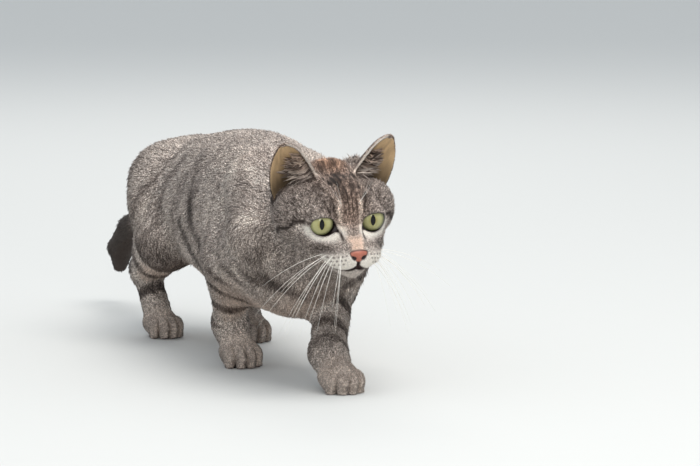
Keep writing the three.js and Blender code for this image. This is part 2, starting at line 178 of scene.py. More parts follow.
def follow(p: Points, line: Sequence[Sequence[float]]) -> tuple[Values, Values, Points]:
    """Where places lie along a bent line.

    Args:
        p: The places.
        line: The line's points in order.

    Returns:
        How far each place is from the line, how far along it, and the line's direction there.
    """
    rows = np.asarray(line, float)
    best, along = np.full(len(p), np.inf), np.zeros(len(p))
    heading, start = np.zeros((len(p), 3)), 0.0
    for a, b in zip(rows, rows[1:]):
        length = float(np.linalg.norm(b - a))
        t = np.clip((p - a) @ (b - a) / length ** 2, 0, 1)
        gap = np.linalg.norm(p - a - t[:, None] * (b - a), axis=1)
        closer = gap < best
        best = np.where(closer, gap, best)
        along = np.where(closer, start + t * length, along)
        heading[closer] = (b - a) / length
        start += length
    return best, along, heading


def only(close: np.ndarray, far: float, measure: Callable[[np.ndarray], Values]) -> Values:
    """Values worked out for chosen places alone.

    Args:
        close: Which places are chosen.
        far: The value of the others.
        measure: Gives the values of the places that a mask chooses.

    Returns:
        The values of all the places.
    """
    out = np.full(len(close), far)
    if close.any():
        out[close] = measure(close)
    return out


def near(p: Points, low: Sequence[float], high: Sequence[float],
         measure: Callable[[Points], Values], reach: float = 42.0) -> Values:
    """A distance worked out only close to a box, and far outside it elsewhere.

    Args:
        p: Places to measure at.
        low: The box's lowest corner.
        high: The box's highest corner.
        measure: The distance function.
        reach: How far round the box it is worked out.

    Returns:
        The distances.
    """
    inside = np.all((p > np.subtract(low, reach)) & (p < np.add(high, reach)), axis=1)
    return only(inside, FAR, lambda chosen: measure(p[chosen]))


def streak(p: Points, line: Sequence[Sequence[float]], width: float) -> Values:
    """A soft stroke along a bent line, 1 on it and near 0 two widths away."""
    return bump(follow(p, line)[0], 0, width)


def eased(before: Points, here: Points, ahead: Points, beyond: Points,
          t: Values | float) -> Points:
    """Places on a smooth curve through rows of points.

    Args:
        before: The points before the curve's present stretch.
        here: The points where the stretch starts.
        ahead: The points where it ends.
        beyond: The points after those.
        t: How far along the stretch, from 0 to 1.

    Returns:
        The places.
    """
    rise, leave = (ahead - before) / 2, (beyond - here) / 2
    return here + t * (rise + t * (3 * (ahead - here) - 2 * rise - leave
                                   + t * (2 * (here - ahead) + rise + leave)))


def rounded(corners: Sequence[Pair], steps: int = 4) -> Points:
    """A smooth closed line through corners, as points in order.

    Args:
        corners: The corners in order.
        steps: How many points each stretch gets.

    Returns:
        The line's points.
    """
    rows = np.array(corners, float)
    before, ahead, beyond = (np.roll(rows, by, 0) for by in (1, -1, -2))
    points = [eased(before, rows, ahead, beyond, t) for t in np.arange(steps) / steps]
    return np.stack(points, 1).reshape(-1, 2)


def from_outline(line: Points, q: Points) -> Values:
    """Distance from a closed line in a plane, negative inside it.

    Args:
        line: The line's points in order.
        q: The places in the plane.

    Returns:
        The signed distances.
    """
    best, inside = np.full(len(q), np.inf), np.zeros(len(q), bool)
    for a, b in zip(line, np.roll(line, -1, 0)):
        along = b - a
        part = np.clip((q - a) @ along / max(along @ along, TINY), 0, 1)
        best = np.minimum(best, np.linalg.norm(q - a - part[:, None] * along, axis=1))
        spans = (a[1] > q[:, 1]) != (b[1] > q[:, 1])
        rise = along[1] if abs(along[1]) > TINY else TINY
        inside ^= spans & (q[:, 0] < a[0] + (q[:, 1] - a[1]) / rise * along[0])
    return np.where(inside, -best, best)


@dataclass(frozen=True)
class Ball:
    """A rounded mass, by its centre and its radii."""

    centre: Triple
    radii: Triple

    def distance(self, p: Points) -> Values:
        """Distance to the mass."""
        return ellipsoid(p, self.centre, self.radii)


@dataclass(frozen=True)
class Taper:
    """A long mass with round ends, by its ends and its radius at each."""

    start: Triple
    end: Triple
    radii: Pair

    def distance(self, p: Points) -> Values:
        """Distance to the mass."""
        return bone(p, self.start, self.end, *self.radii)


def tube_faces(rings: int, spokes: int, first: int, last: int) -> np.ndarray:
    """The faces of a form of rings, closed at each end by a fan round a middle vertex.

    Args:
        rings: How many rings it has, numbered from 0 one after another.
        spokes: How many vertices each ring has.
        first: The number of the middle vertex before the first ring.
        last: The number of the middle vertex after the last ring.

    Returns:
        Three vertex numbers for each face.
    """
    a, b = np.arange(spokes), (np.arange(spokes) + 1) % spokes
    rows = np.arange(rings - 1)[:, None] * spokes
    here, there, end = (rows + a).ravel(), (rows + b).ravel(), (rings - 1) * spokes
    return np.vstack([
        np.column_stack([here, there, there + spokes]),
        np.column_stack([here, there + spokes, here + spokes]),
        np.column_stack([np.full(spokes, first), b, a]),
        np.column_stack([np.full(spokes, last), end + a, end + b]),
    ])


class Noise:
    """Smooth random values in space, the same each run."""

    entries = 4096
    origin = 512.0
    strides = (73856093, 19349663, 83492791)

    def __init__(self, seed: int) -> None:
        """Fills the table of random values.

        Args:
            seed: Which pattern it is.
        """
        self.table = np.random.default_rng(seed).random(self.entries)

    def at(self, p: Points, size: float) -> Values:
        """Values from 0 to 1 that change over about the given size.

        Args:
            p: Places.
            size: Over about what length the values change.

        Returns:
            A value for each place.
        """
        q = p / size + self.origin
        cell = np.floor(q).astype(np.int64)
        t = q - cell
        t = t * t * (3 - 2 * t)
        total = np.zeros(len(p))
        for corner in np.ndindex(2, 2, 2):
            at = cell + np.array(corner)
            key = np.bitwise_xor.reduce(at * np.array(self.strides), axis=1)
            weight = np.prod(np.where(np.array(corner) == 1, t, 1 - t), axis=1)
            total += weight * self.table[key & (self.entries - 1)]
        return total

    def layers(self, p: Points, size: float) -> Values:
        """Three sizes of noise added, from 0 to 1."""
        fine = self.at(p + 31.7, size / 2.1) * 0.3 + self.at(p - 17.3, size / 4.3) * 0.15
        return self.at(p, size) * 0.55 + fine


# ------------------------------------------------------------------ the cat's form


@dataclass(frozen=True)
class HeadFrame:
    """The head's own frame: left, forward and up, from midway between the eyes' centres."""

    centre: Triple = (1.4, -199, 142)
    yaw: float = 2.5
    pitch: float = 6.0
    roll: float = 2.2

    @property
    def axes(self) -> Points:
        """The left, forward and up directions, as rows."""
        yaw, pitch, roll = (math.radians(a) for a in (self.yaw, self.pitch, self.roll))
        left = np.array([math.cos(yaw), math.sin(yaw), 0])
        flat = math.cos(pitch)
        forward = np.array([math.sin(yaw) * flat, -math.cos(yaw) * flat, -math.sin(pitch)])
        up = np.cross(forward, left)
        return np.array([
            left * math.cos(roll) + up * math.sin(roll),
            forward,
            up * math.cos(roll) - left * math.sin(roll),
        ])

    def inward(self, p: Points) -> Points:
        """Places in the cat's frame, as left, forward and up on the head."""
        return (p - np.array(self.centre)) @ self.axes.T

    def outward(self, q: Points) -> Points:
        """Places on the head, in the cat's frame."""
        return np.asarray(q, float) @ self.axes + np.array(self.centre)

    def turned(self, q: Points) -> Points:
        """Directions on the head, in the cat's frame."""
        return np.asarray(q, float) @ self.axes


HEAD = HeadFrame()


def mirrored(q: Points) -> Points:
    """Places on the head with the right side's brought over to the left."""
    return np.column_stack([np.abs(q[:, 0]), q[:, 1], q[:, 2]])


def packed_offset() -> Points:
    """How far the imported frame's origin lies from the cat's own, in millimetres."""
    centres = []
    for side in Side:
        low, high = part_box(f"eye_{side.word}")
        centres.append((np.array(low) + np.array(high)) / 2)
    return np.mean(centres, axis=0) / MILLIMETRE - np.array(HEAD.centre)


OFFSET = packed_offset()


@dataclass(frozen=True)
class Station:
    """One upright section of the trunk."""

    y: float
    top: float
    bottom: float
    half: float
    shift: float


@dataclass(frozen=True)
class Trunk:
    """The barrel of the body, from the base of the neck to the base of the tail."""

    stations: tuple[Station, ...] = (
        Station(-118, 164, 82, 24, 1), Station(-104, 180, 63, 38, 0),
        Station(-80, 188, 53, 48, -1), Station(-45, 194.5, 48, 57, -1),
        Station(0, 196, 51, 60, -1), Station(50, 192.5, 58, 60, 0),
        Station(100, 185, 68, 58, 0), Station(145, 177, 82, 52, 0),
        Station(180, 164, 98, 44, 0), Station(205, 150, 112, 32, 0),
    )
    taper: float = 0.16

    def section(self, y: Values) -> Points:
        """The top, bottom, half width and shift of the sections at the given places.

        Args:
            y: Places along the trunk.

        Returns:
            A row of the four for each place.
        """
        ys = np.array([s.y for s in self.stations])
        rows = np.array([[s.top, s.bottom, s.half, s.shift] for s in self.stations])
        rows = np.vstack([rows[:1], rows, rows[-1:]])
        i = np.clip(np.searchsorted(ys, y, side="left") - 1, 0, len(ys) - 2)
        t = ((y - ys[i]) / (ys[i + 1] - ys[i]))[:, None]
        return eased(rows[i], rows[i + 1], rows[i + 2], rows[i + 3], t)

    def distance(self, p: Points) -> Values:
        """Distance, near enough, to the barrel.

        Args:
            p: Places in the cat's frame.

        Returns:
            The signed distances.
        """
        inside = np.clip(p[:, 1], self.stations[0].y, self.stations[-1].y)
        top, bottom, half, shift = self.section(inside).T
        height = (top - bottom) / 2
        c = (p[:, 2] - (top + bottom) / 2) / height
        a = (p[:, 0] - shift) / (half * (1 - self.taper * np.clip(c, -1, 1)))
        inmost = -np.minimum(half, height)
        side = scaled(np.hypot(a, c), np.hypot(a / half, c / height), inmost)
        side = np.maximum(side, inmost)
        return np.hypot(np.maximum(side, 0), p[:, 1] - inside) + np.minimum(side, 0)


@dataclass(frozen=True)
class Limb:
    """One leg, by its joints from the body to the toes."""

    joints: tuple[Triple, ...]
    fore: bool
    toe_places: tuple[float, ...] = (-1, -0.35, 0.35, 1)
    outer_toe_back: float = 5.0
    inner_toe_back: float = -1.0
    toe_drop: float = 0.3
    room: float = 30.0
    reach: float = 16.0

    @property
    def box(self) -> tuple[Points, Points]:
        """The corners of a box round the joints."""
        rows = np.array(self.joints, float)
        return rows.min(0), rows.max(0)

    def toes(self) -> Iterable[tuple[Points, Points]]:
        """The centre and radii of each toe."""
        spread, radii = (12, (5.6, 11, 9.2)) if self.fore else (11, (5.3, 10.5, 9.2))
        for across in self.toe_places:
            back = self.outer_toe_back if abs(across) == 1 else self.inner_toe_back
            place = np.array(self.joints[-1]) + [across * spread, back, -self.toe_drop]
            yield place, np.array(radii)

    def distance(self, p: Points) -> Values:
        """Distance to the leg and its paw."""
        low, high = self.box
        return near(p, low - self.room, high + self.room, self.flesh, self.reach)

    def flesh(self, p: Points) -> Values:
        """Distance to the leg's muscles, its paw and its toes.

        Args:
            p: Places near the leg, in the cat's frame.

        Returns:
            The signed distances.
        """
        if self.fore:
            blade, shoulder, elbow, wrist, ball, _ = self.joints
            muscles = [bone(p, blade, shoulder, 25, 25), bone(p, shoulder, elbow, 24, 18),
                       bone(p, np.add(elbow, (0, 4, 6)), wrist, 19, 14)]
            paw = [bone(p, wrist, ball, 14, 14.5), ellipsoid(p, ball, (17, 17, 12.5))]
            fillet = 12
        else:
            hip, knee, hock, ball, _ = self.joints
            thigh = np.add(hip, np.multiply(np.subtract(knee, hip), 0.35))
            shank = np.multiply(np.add(knee, hock), 0.5)
            muscles = [bone(p, hip, knee, 35, 25), bone(p, thigh, shank, 31, 19),
                       bone(p, knee, hock, 22, 12.5)]
            paw = [bone(p, hock, ball, 12.5, 13), ellipsoid(p, ball, (15.5, 17, 12))]
            fillet = 14
        toes = blend(1.5, *[ellipsoid(p, centre, radii) for centre, radii in self.toes()])
        return blend(fillet, *muscles, blend(4, *paw, toes))


@dataclass(frozen=True)
class Tail:
    """The tail, by the centre and radius of each of its stations."""

    stations: tuple[tuple[Triple, float], ...] = (
        ((0, 196, 132), 19), ((2, 246, 112), 15), ((-1, 296, 90), 14),
        ((-7, 338, 74), 14), ((-8, 368, 54), 13), ((-4, 384, 36), 7.5),
    )
    fillet: float = 1.5

    def distance(self, p: Points) -> Values:
        """Distance to the tail."""
        return near(p, (-20, 200, 30), (20, 390, 140), self.flesh)

    def flesh(self, p: Points) -> Values:
        """Distance to the tail's tapered lengths, at places near it."""
        pairs = zip(self.stations, self.stations[1:])
        return blend(self.fillet, *[bone(p, a, b, ra, rb) for (a, ra), (b, rb) in pairs])

    @property
    def line(self) -> Points:
        """The line down the tail's middle."""
        return np.array([at for at, _ in self.stations], float)


@dataclass(frozen=True)
class EyeForm:
    """The eye and the opening between its lids, seen along its gaze."""

    radius: float = 9.8
    spread: float = 21.9
    gaze: float = 12.0
    dome: float = 12.5
    lid: float = 1.3
    turn: float = 6.0
    opening: tuple[Pair, ...] = (
        (8.8, -0.4), (7.3, 2.9), (2.4, 5.2), (-4.0, 4.9), (-8.5, 2.4), (-10.9, -1.6),
        (-12.7, -6.5), (-9.9, -6.9), (-6.2, -8.9), (-0.8, -9.8), (4.8, -8.2), (8.2, -4.3),
    )

    def seen(self, m: Points) -> tuple[Values, Values]:
        """How far outward and up of the eye's centre places are, seen along the lids' facing."""
        turn = math.radians(self.turn)
        return (m[:, 0] - self.spread) * math.cos(turn) - m[:, 1] * math.sin(turn), m[:, 2]

    def edge(self, m: Points) -> Values:
        """Distance from the lids' edge seen from the front, negative inside the opening.

        Args:
            m: Places on the head, with X made positive.

        Returns:
            The signed distances, worked out near the eye and large elsewhere.
        """
        s, t = self.seen(m)
        close = (m[:, 1] > -14) & (np.abs(s) < 26) & (np.abs(t) < 24)
        flat = np.column_stack([s, t])
        return only(close, OFF, lambda chosen: from_outline(rounded(self.opening), flat[chosen]))


@dataclass(frozen=True)
class EarForm:
    """An ear, as a cup in a frame of its own on the head's left side."""

    base: Triple = (31.5, -28, 22.5)
    inner: Triple = (15.8, -21, 33)
    tip: Triple = (42, -15.5, 62.6)
    inner_edge: Triple = (-20, -0.15, 0.0045)
    outer_edge: Triple = (20, -0.17, -0.0105)
    root: float = -7
    shoulder: float = 26
    height: float = 41
    depth: float = 14
    mouth_height: float = 55
    fullness: float = 2.5

    @property
    def axes(self) -> Points:
        """Across the mouth, up the ear and back from the mouth, as rows on the head."""
        a = unit(np.subtract(self.base, self.inner).astype(float))
        rise = np.subtract(self.tip, self.base).astype(float)
        b = unit(rise - (rise @ a) * a)
        return np.array([a, b, np.cross(a, b)])

    def parts(self, q: Points) -> tuple[Values, Values, Values, Values]:
        """Where places lie on the ear.

        Args:
            q: Places on the head, with the side's X made positive.

        Returns:
            How far across from -1 to 1, how far up in millimetres, how far behind the
            inner face, and how far outside the outline.
        """
        x, y, z = ((q - np.array(self.base)) @ self.axes.T).T
        up = np.clip(y, self.root - 6, self.height)
        low, high = (start + lean * up + bow * up * up
                     for start, lean, bow in (self.inner_edge, self.outer_edge))
        half = (high - low) / 2
        cap = np.maximum(0, (y - self.shoulder) / (self.height - self.shoulder))
        across = (x - (low + high) / 2) / half
        rim = (np.abs(across) ** self.fullness + cap ** self.fullness) ** (1 / self.fullness)
        hollow = self.depth * (1 - np.maximum(up, 0) / self.mouth_height)
        inner = hollow * np.maximum(1 - rim * rim, -0.3)
        return across, y, z - inner, (rim - 1) * np.minimum(half, 14)

    def distance(self, q: Points, wall: float, rim: float) -> Values:
        """Distance to the ear's thin wall.

        Args:
            q: Places on the head, with the side's X made positive.
            wall: The wall's thickness at its middle.
            rim: The wall's thickness at its edge.

        Returns:
            The signed distances.
        """
        across, up, behind, outside = self.parts(q)
        lean = 2 * self.depth * (1 - np.maximum(up, 0) / self.mouth_height) * np.abs(across) / 18
        thick = wall + (rim - wall) * np.clip(np.abs(across), 0, 1) ** 3
        sheet = np.abs(behind - thick / 2) / np.sqrt(1 + np.minimum(lean, 1.2) ** 2) - thick / 2
        edge = np.maximum(outside, self.root - up)
        return -blend(1.6, -sheet, -edge)


@dataclass(frozen=True)
class Skull:
    """The head's masses out to the coat's tips, those of the left side serving both sides."""

    braincase: Ball = Ball((0, -32, 4), (37, 42, 33))
    brow: Ball = Ball((0, -8, 13), (25, 19, 18))
    crown: Ball = Ball((0, -38, 14), (32, 22, 29))
    ear_back: Ball = Ball((27, -51, 27), (12, 8, 12))
    temple: Ball = Ball((29, -27, 3), (23.5, 25, 26))
    cheek: Ball = Ball((19, -6, -10), (16, 12, 15))
    cheekbone: Taper = Taper((21, -10, -15), (13, 10, -22), (13, 9))
    bridge: Taper = Taper((0, -3, 0), (0, 17.5, -19), (13, 9))
    muzzle: Ball = Ball((10.5, 15.5, -25), (13, 13, 10))
    jaw: Taper = Taper((0, 12.5, -35), (0, -24, -26), (9.5, 20))
    fillet: float = 9.0

    def distance(self, q: Points) -> Values:
        """Distance to the head without its ears, at places on the head."""
        masses = (self.braincase, self.brow, self.crown, self.ear_back, self.temple, self.cheek,
                  self.cheekbone, self.bridge, self.muzzle, self.jaw)
        m = mirrored(q)
        return blend(self.fillet, *[mass.distance(m) for mass in masses])


@dataclass(frozen=True)
class NoseForm:
    """The nose's leather and its nostrils, on the head with the side's X made positive."""

    top: Ball = Ball((0, 24.9, -20.7), (6.6, 4.9, 2.6))
    wing: Ball = Ball((4.8, 24.0, -22.0), (3.0, 3.7, 2.5))
    front: Ball = Ball((0, 25.2, -23.2), (3.9, 4.6, 3.6))
    ridge: Taper = Taper((1.4, 24.9, -24.6), (0.3, 25.7, -28.0), (2.3, 1.3))
    fillet: float = 2.0
    hole: Taper = Taper((3.5, 28.3, -25.1), (5.5, 27.0, -23.8), (0.95, 1.2))
    slit: Taper = Taper((5.5, 27.0, -23.8), (7.8, 23.4, -22.9), (1.0, 0.6))
    outline_top: float = -18.2
    outline: tuple[Pair, ...] = (
        (4.1, -18.5), (7.0, -19.5), (7.7, -21.2), (6.3, -23.8), (4.1, -25.8), (2.0, -27.4),
        (0.7, -28.6),
    )

    def leather(self, m: Points) -> Values:
        """Distance to the leather."""
        masses = (self.top, self.wing, self.front, self.ridge)
        return blend(self.fillet, *[mass.distance(m) for mass in masses])

    def edge(self, m: Points) -> Values:
        """How far outside the leather's outline places are, seen from the front."""
        mirror = [(-x, z) for x, z in reversed(self.outline)]
        line = rounded([(0, self.outline_top), *self.outline, *mirror])
        close = (m[:, 0] < 14) & (m[:, 1] > 17) & (np.abs(m[:, 2] + 23) < 12)
        return only(close, OFF, lambda chosen: from_outline(line, m[chosen][:, [0, 2]]))

    def nostril(self, m: Points) -> Values:
        """Distance to the nostril and the slit that runs out from it."""
        return np.minimum(self.hole.distance(m), self.slit.distance(m))


@dataclass(frozen=True)
class MouthForm:
    """The groove under the nose and the line between the lips, seen from the front."""

    depth: float = 1.3
    groove: Taper = Taper((0, 0, -28.2), (0, 0, -32.6), (0.45, 0.85))
    lips: tuple[Triple, ...] = (
        (0, 0, -32.9), (3.2, 0, -34.5), (8.5, 0, -35.8), (14.5, 0, -36.4), (19, 0, -35.4),
        (22, 0, -33.4),
    )
    thick: tuple[float, ...] = (1.35, 0.95, 0.5, 0.25, 0.15, 0.1)

    def edge(self, m: Points) -> Values:
        """How far outside the groove and the lips' line places are."""
        close = (m[:, 0] < 26) & (m[:, 1] > -6) & (np.abs(m[:, 2] + 33) < 12)
        return only(close, OFF, lambda chosen: self.lines(m[chosen] * [1, 0, 1]))

    def lines(self, flat: Points) -> Values:
        """Distance to the groove and the line, at places brought into their plane."""
        pairs = zip(self.lips, self.lips[1:], self.thick, self.thick[1:])
        return np.minimum.reduce([self.groove.distance(flat), *[bone(flat, *ends) for ends in pairs]])


def legs() -> dict[str, Limb]:
    """The legs by name, each from its shoulder or hip to its toes."""
    return {
        "foreleg_left": Limb(((22, -66, 154), (36, -116, 118), (36, -76, 70),
                              (5, -147, 28), (5, -172, 12), (6, -186, 10)), True),
        "foreleg_right": Limb(((-25, -58, 162), (-40, -108, 120), (-45, -44, 92),
                               (-27, 4, 34), (-25, -12, 12), (-25, -26, 10)), True),
        "hindleg_left": Limb(((27, 156, 136), (45, 98, 92), (37, 168, 44),
                              (32, 126, 12), (31, 110, 10)), False),
        "hindleg_right": Limb(((-31, 160, 136), (-49, 110, 90), (-37, 204, 56),
                               (-33, 176, 12), (-32, 160, 10)), False),
    }


@dataclass(frozen=True)
class CatForm:
    """The whole cat as one distance, out to the coat's tips or down to the skin."""

    trunk: Trunk = Trunk()
    tail: Tail = Tail()
    skull: Skull = Skull()
    eye: EyeForm = EyeForm()
    ear: EarForm = EarForm()
    nose: NoseForm = NoseForm()
    mouth: MouthForm = MouthForm()
    limbs: dict[str, Limb] = field(default_factory=legs)
    chest: Ball = Ball((0, -96, 104), (40, 34, 46))
    haunch: Ball = Ball((0, 176, 128), (46, 40, 40))
    nape: Taper = Taper((-3, -88, 143), (-1, -152, 148), (36, 29))
    throat: Taper = Taper((0, -98, 102), (0, -160, 118), (36, 27))
    brow_hollow: Ball = Ball((13.4, 13.5, 0.5), (3.4, 4.5, 6.5))
    lip: Ball = Ball((6.6, 21.7, -28.6), (6.8, 6.6, 5.4))
    ear_wall: float = 2.3
    ear_rim: float = 1.7

    def body(self, p: Points) -> Values:
        """Distance to all but the head, out to the coat's tips.

        Args:
            p: Places in the cat's frame.

        Returns:
            The signed distances.
        """
        barrel = blend(34, self.trunk.distance(p), self.chest.distance(p), self.haunch.distance(p))
        barrel = blend(30, barrel, self.tail.distance(p))
        neck = near(p, (-40, -190, 75), (40, -85, 185),
                    lambda q: blend(26, self.nape.distance(q), self.throat.distance(q)))
        return blend(16, blend(26, barrel, neck), *[limb.distance(p) for limb in self.limbs.values()])

    def depth(self, p: Points) -> Values:
        """How deep the skin lies under the coat's tips.

        Args:
            p: Places in the cat's frame.

        Returns:
            The depth at each place.
        """
        q = HEAD.inward(p)
        from_nose = np.linalg.norm(q - np.array([0, 25.5, -22]), axis=1)
        face = np.interp(from_nose, (7, 14, 30, 46, 70, 100), (0.1, 0.9, 1.4, 1.9, 2.8, 4))
        leg = np.interp(p[:, 2], (0, 12, 30, 60, 100), (1.2, 1.5, 2.2, 3.2, 4))
        tail = np.interp(p[:, 1], (200, 240, 380), (4, 3.6, 3.2))
        return np.minimum(np.minimum(face, leg), tail)

    def face(self, q: Points, base: Values) -> Values:
        """The skin of the face: lids, nose, mouth and chin, cut into the plain head.

        Args:
            q: Places on the head.
            base: The distance to the plain skin.

        Returns:
            The distance with the face's features.
        """
        eye, m, out = self.eye, mirrored(q), base
        ball = np.linalg.norm(m - np.array([eye.spread, 0, 0]), axis=1)
        # the hollow between the brow and the bridge, then the lids' own swell
        out = carve(6, out, self.brow_hollow.distance(m))
        out = blend(4, out, ball - eye.radius - eye.lid)
        off_centre = np.hypot(*eye.seen(m))
        corner = out + 1.0 + 12 * ramp(off_centre, 11.0, 8.8)
        floor = np.minimum(ball - eye.radius + 0.5, corner)
        opening = np.where(m[:, 1] > -2, eye.edge(m), 20.0)
        out = carve(0.9, out, np.maximum(opening, -floor))
        # the nose's leather, with a nostril at each side
        out = blend(1.4, out, self.nose.leather(m))
        out = carve(0.8, out, self.nose.nostril(m))
        # the pads, parted in the middle, and the line of the mouth
        out = blend(3, out, self.lip.distance(m))
        return carve(1.2, out, np.maximum(self.mouth.edge(m), -(out + self.mouth.depth)))

    def skin(self, p: Points, ear_swell: float = 0.0) -> Values:
        """Distance to the skin.

        Args:
            p: Places in the cat's frame.
            ear_swell: How much thicker the ears are made, for a mesh that can hold them.

        Returns:
            The signed distances.
        """
        q = HEAD.inward(p)
        head = near(q, (-45, -50, -45), (45, 25, 45), self.skull.distance, 30)
        out = blend(8, self.body(p), head) + self.depth(p)
        on_face = (q[:, 1] > -14) & (np.abs(q[:, 0]) < 42) & (np.abs(q[:, 2]) < 52)
        if on_face.any():
            out[on_face] = self.face(q[on_face], out[on_face])
        at_ears = (q[:, 2] > 8) & (q[:, 1] > -70) & (q[:, 1] < 10)
        if at_ears.any():
            wall = self.ear.distance(mirrored(q[at_ears]), self.ear_wall + ear_swell,
                                     self.ear_rim + ear_swell)
            out[at_ears] = blend(5, out[at_ears], wall)
        return np.maximum(blend(1.5, out, self.pads(p)), -p[:, 2])

    def pads(self, p: Points) -> Values:
        """Distance to the pads under the toes and the balls of the feet.

        Args:
            p: Places in the cat's frame.

        Returns:
            The signed distances.
        """
        pads = []
        for limb in self.limbs.values():
            ball = limb.joints[-2]
            pads.append(Ball((ball[0], ball[1] - 1, 3.4), (9, 7.5, 4.2)))
            pads += [Ball((toe[0], toe[1] - 2.5, 2.8), (3.6, 4.8, 3.4)) for toe, _ in limb.toes()]
        return only(p[:, 2] < 20, FAR, lambda low: np.minimum.reduce(
            [np.minimum(pad.distance(p[low]), FAR) for pad in pads]))


CAT = CatForm()

# ------------------------------------------------------------------ distance to mesh


def graded(low: float, high: float, near_low: float, near_high: float,
           fine: float, coarse: float, growth: float = 0.08) -> Values:
    """Places from low to high, fine apart from near_low to near_high and wider elsewhere.

    Args:
        low: Where the places start.
        high: Where they end.
        near_low: Where the fine stretch starts.
        near_high: Where it ends.
        fine: The gap in the fine stretch.
        coarse: The widest gap.
        growth: How fast the gap grows with the way from the fine stretch.

    Returns:
        The places in order.
    """
    places = [near_low]
    while places[-1] < high:
        beyond = max(0.0, places[-1] - near_high)
        places.append(places[-1] + min(coarse, fine + growth * beyond))
    while places[0] > low:
        beyond = near_low - places[0]
        places.insert(0, places[0] - min(coarse, fine + growth * beyond))
    return np.array(places)


@dataclass
class Shell:
    """A mesh drawn on the surface of a distance field."""

    points: Points
    faces: np.ndarray

    def edges(self) -> np.ndarray:
        """Each edge once, as pairs of vertex numbers."""
        pairs = np.sort(np.vstack([self.faces[:, [0, 1]], self.faces[:, [1, 2]],
                                   self.faces[:, [2, 0]]]), axis=1)
        return np.unique(pairs, axis=0)

    def smoothed(self, amount: float) -> Points:
        """The vertices moved towards the middle of their neighbours.

        Args:
            amount: The share of the way that they move.

        Returns:
            The moved vertices.
        """
        edges = self.edges()
        ends, others = edges.ravel(), edges[:, ::-1].ravel()
        count = np.bincount(ends, minlength=len(self.points))
        middle = np.column_stack([
            np.bincount(ends, self.points[others, axis], len(self.points)) / count
            for axis in range(3)])
        return self.points + amount * (middle - self.points)

    def areas(self) -> Values:
        """The area of each face."""
        a, b, c = (self.points[self.faces[:, i]] for i in range(3))
        return np.linalg.norm(np.cross(b - a, c - a), axis=1) / 2


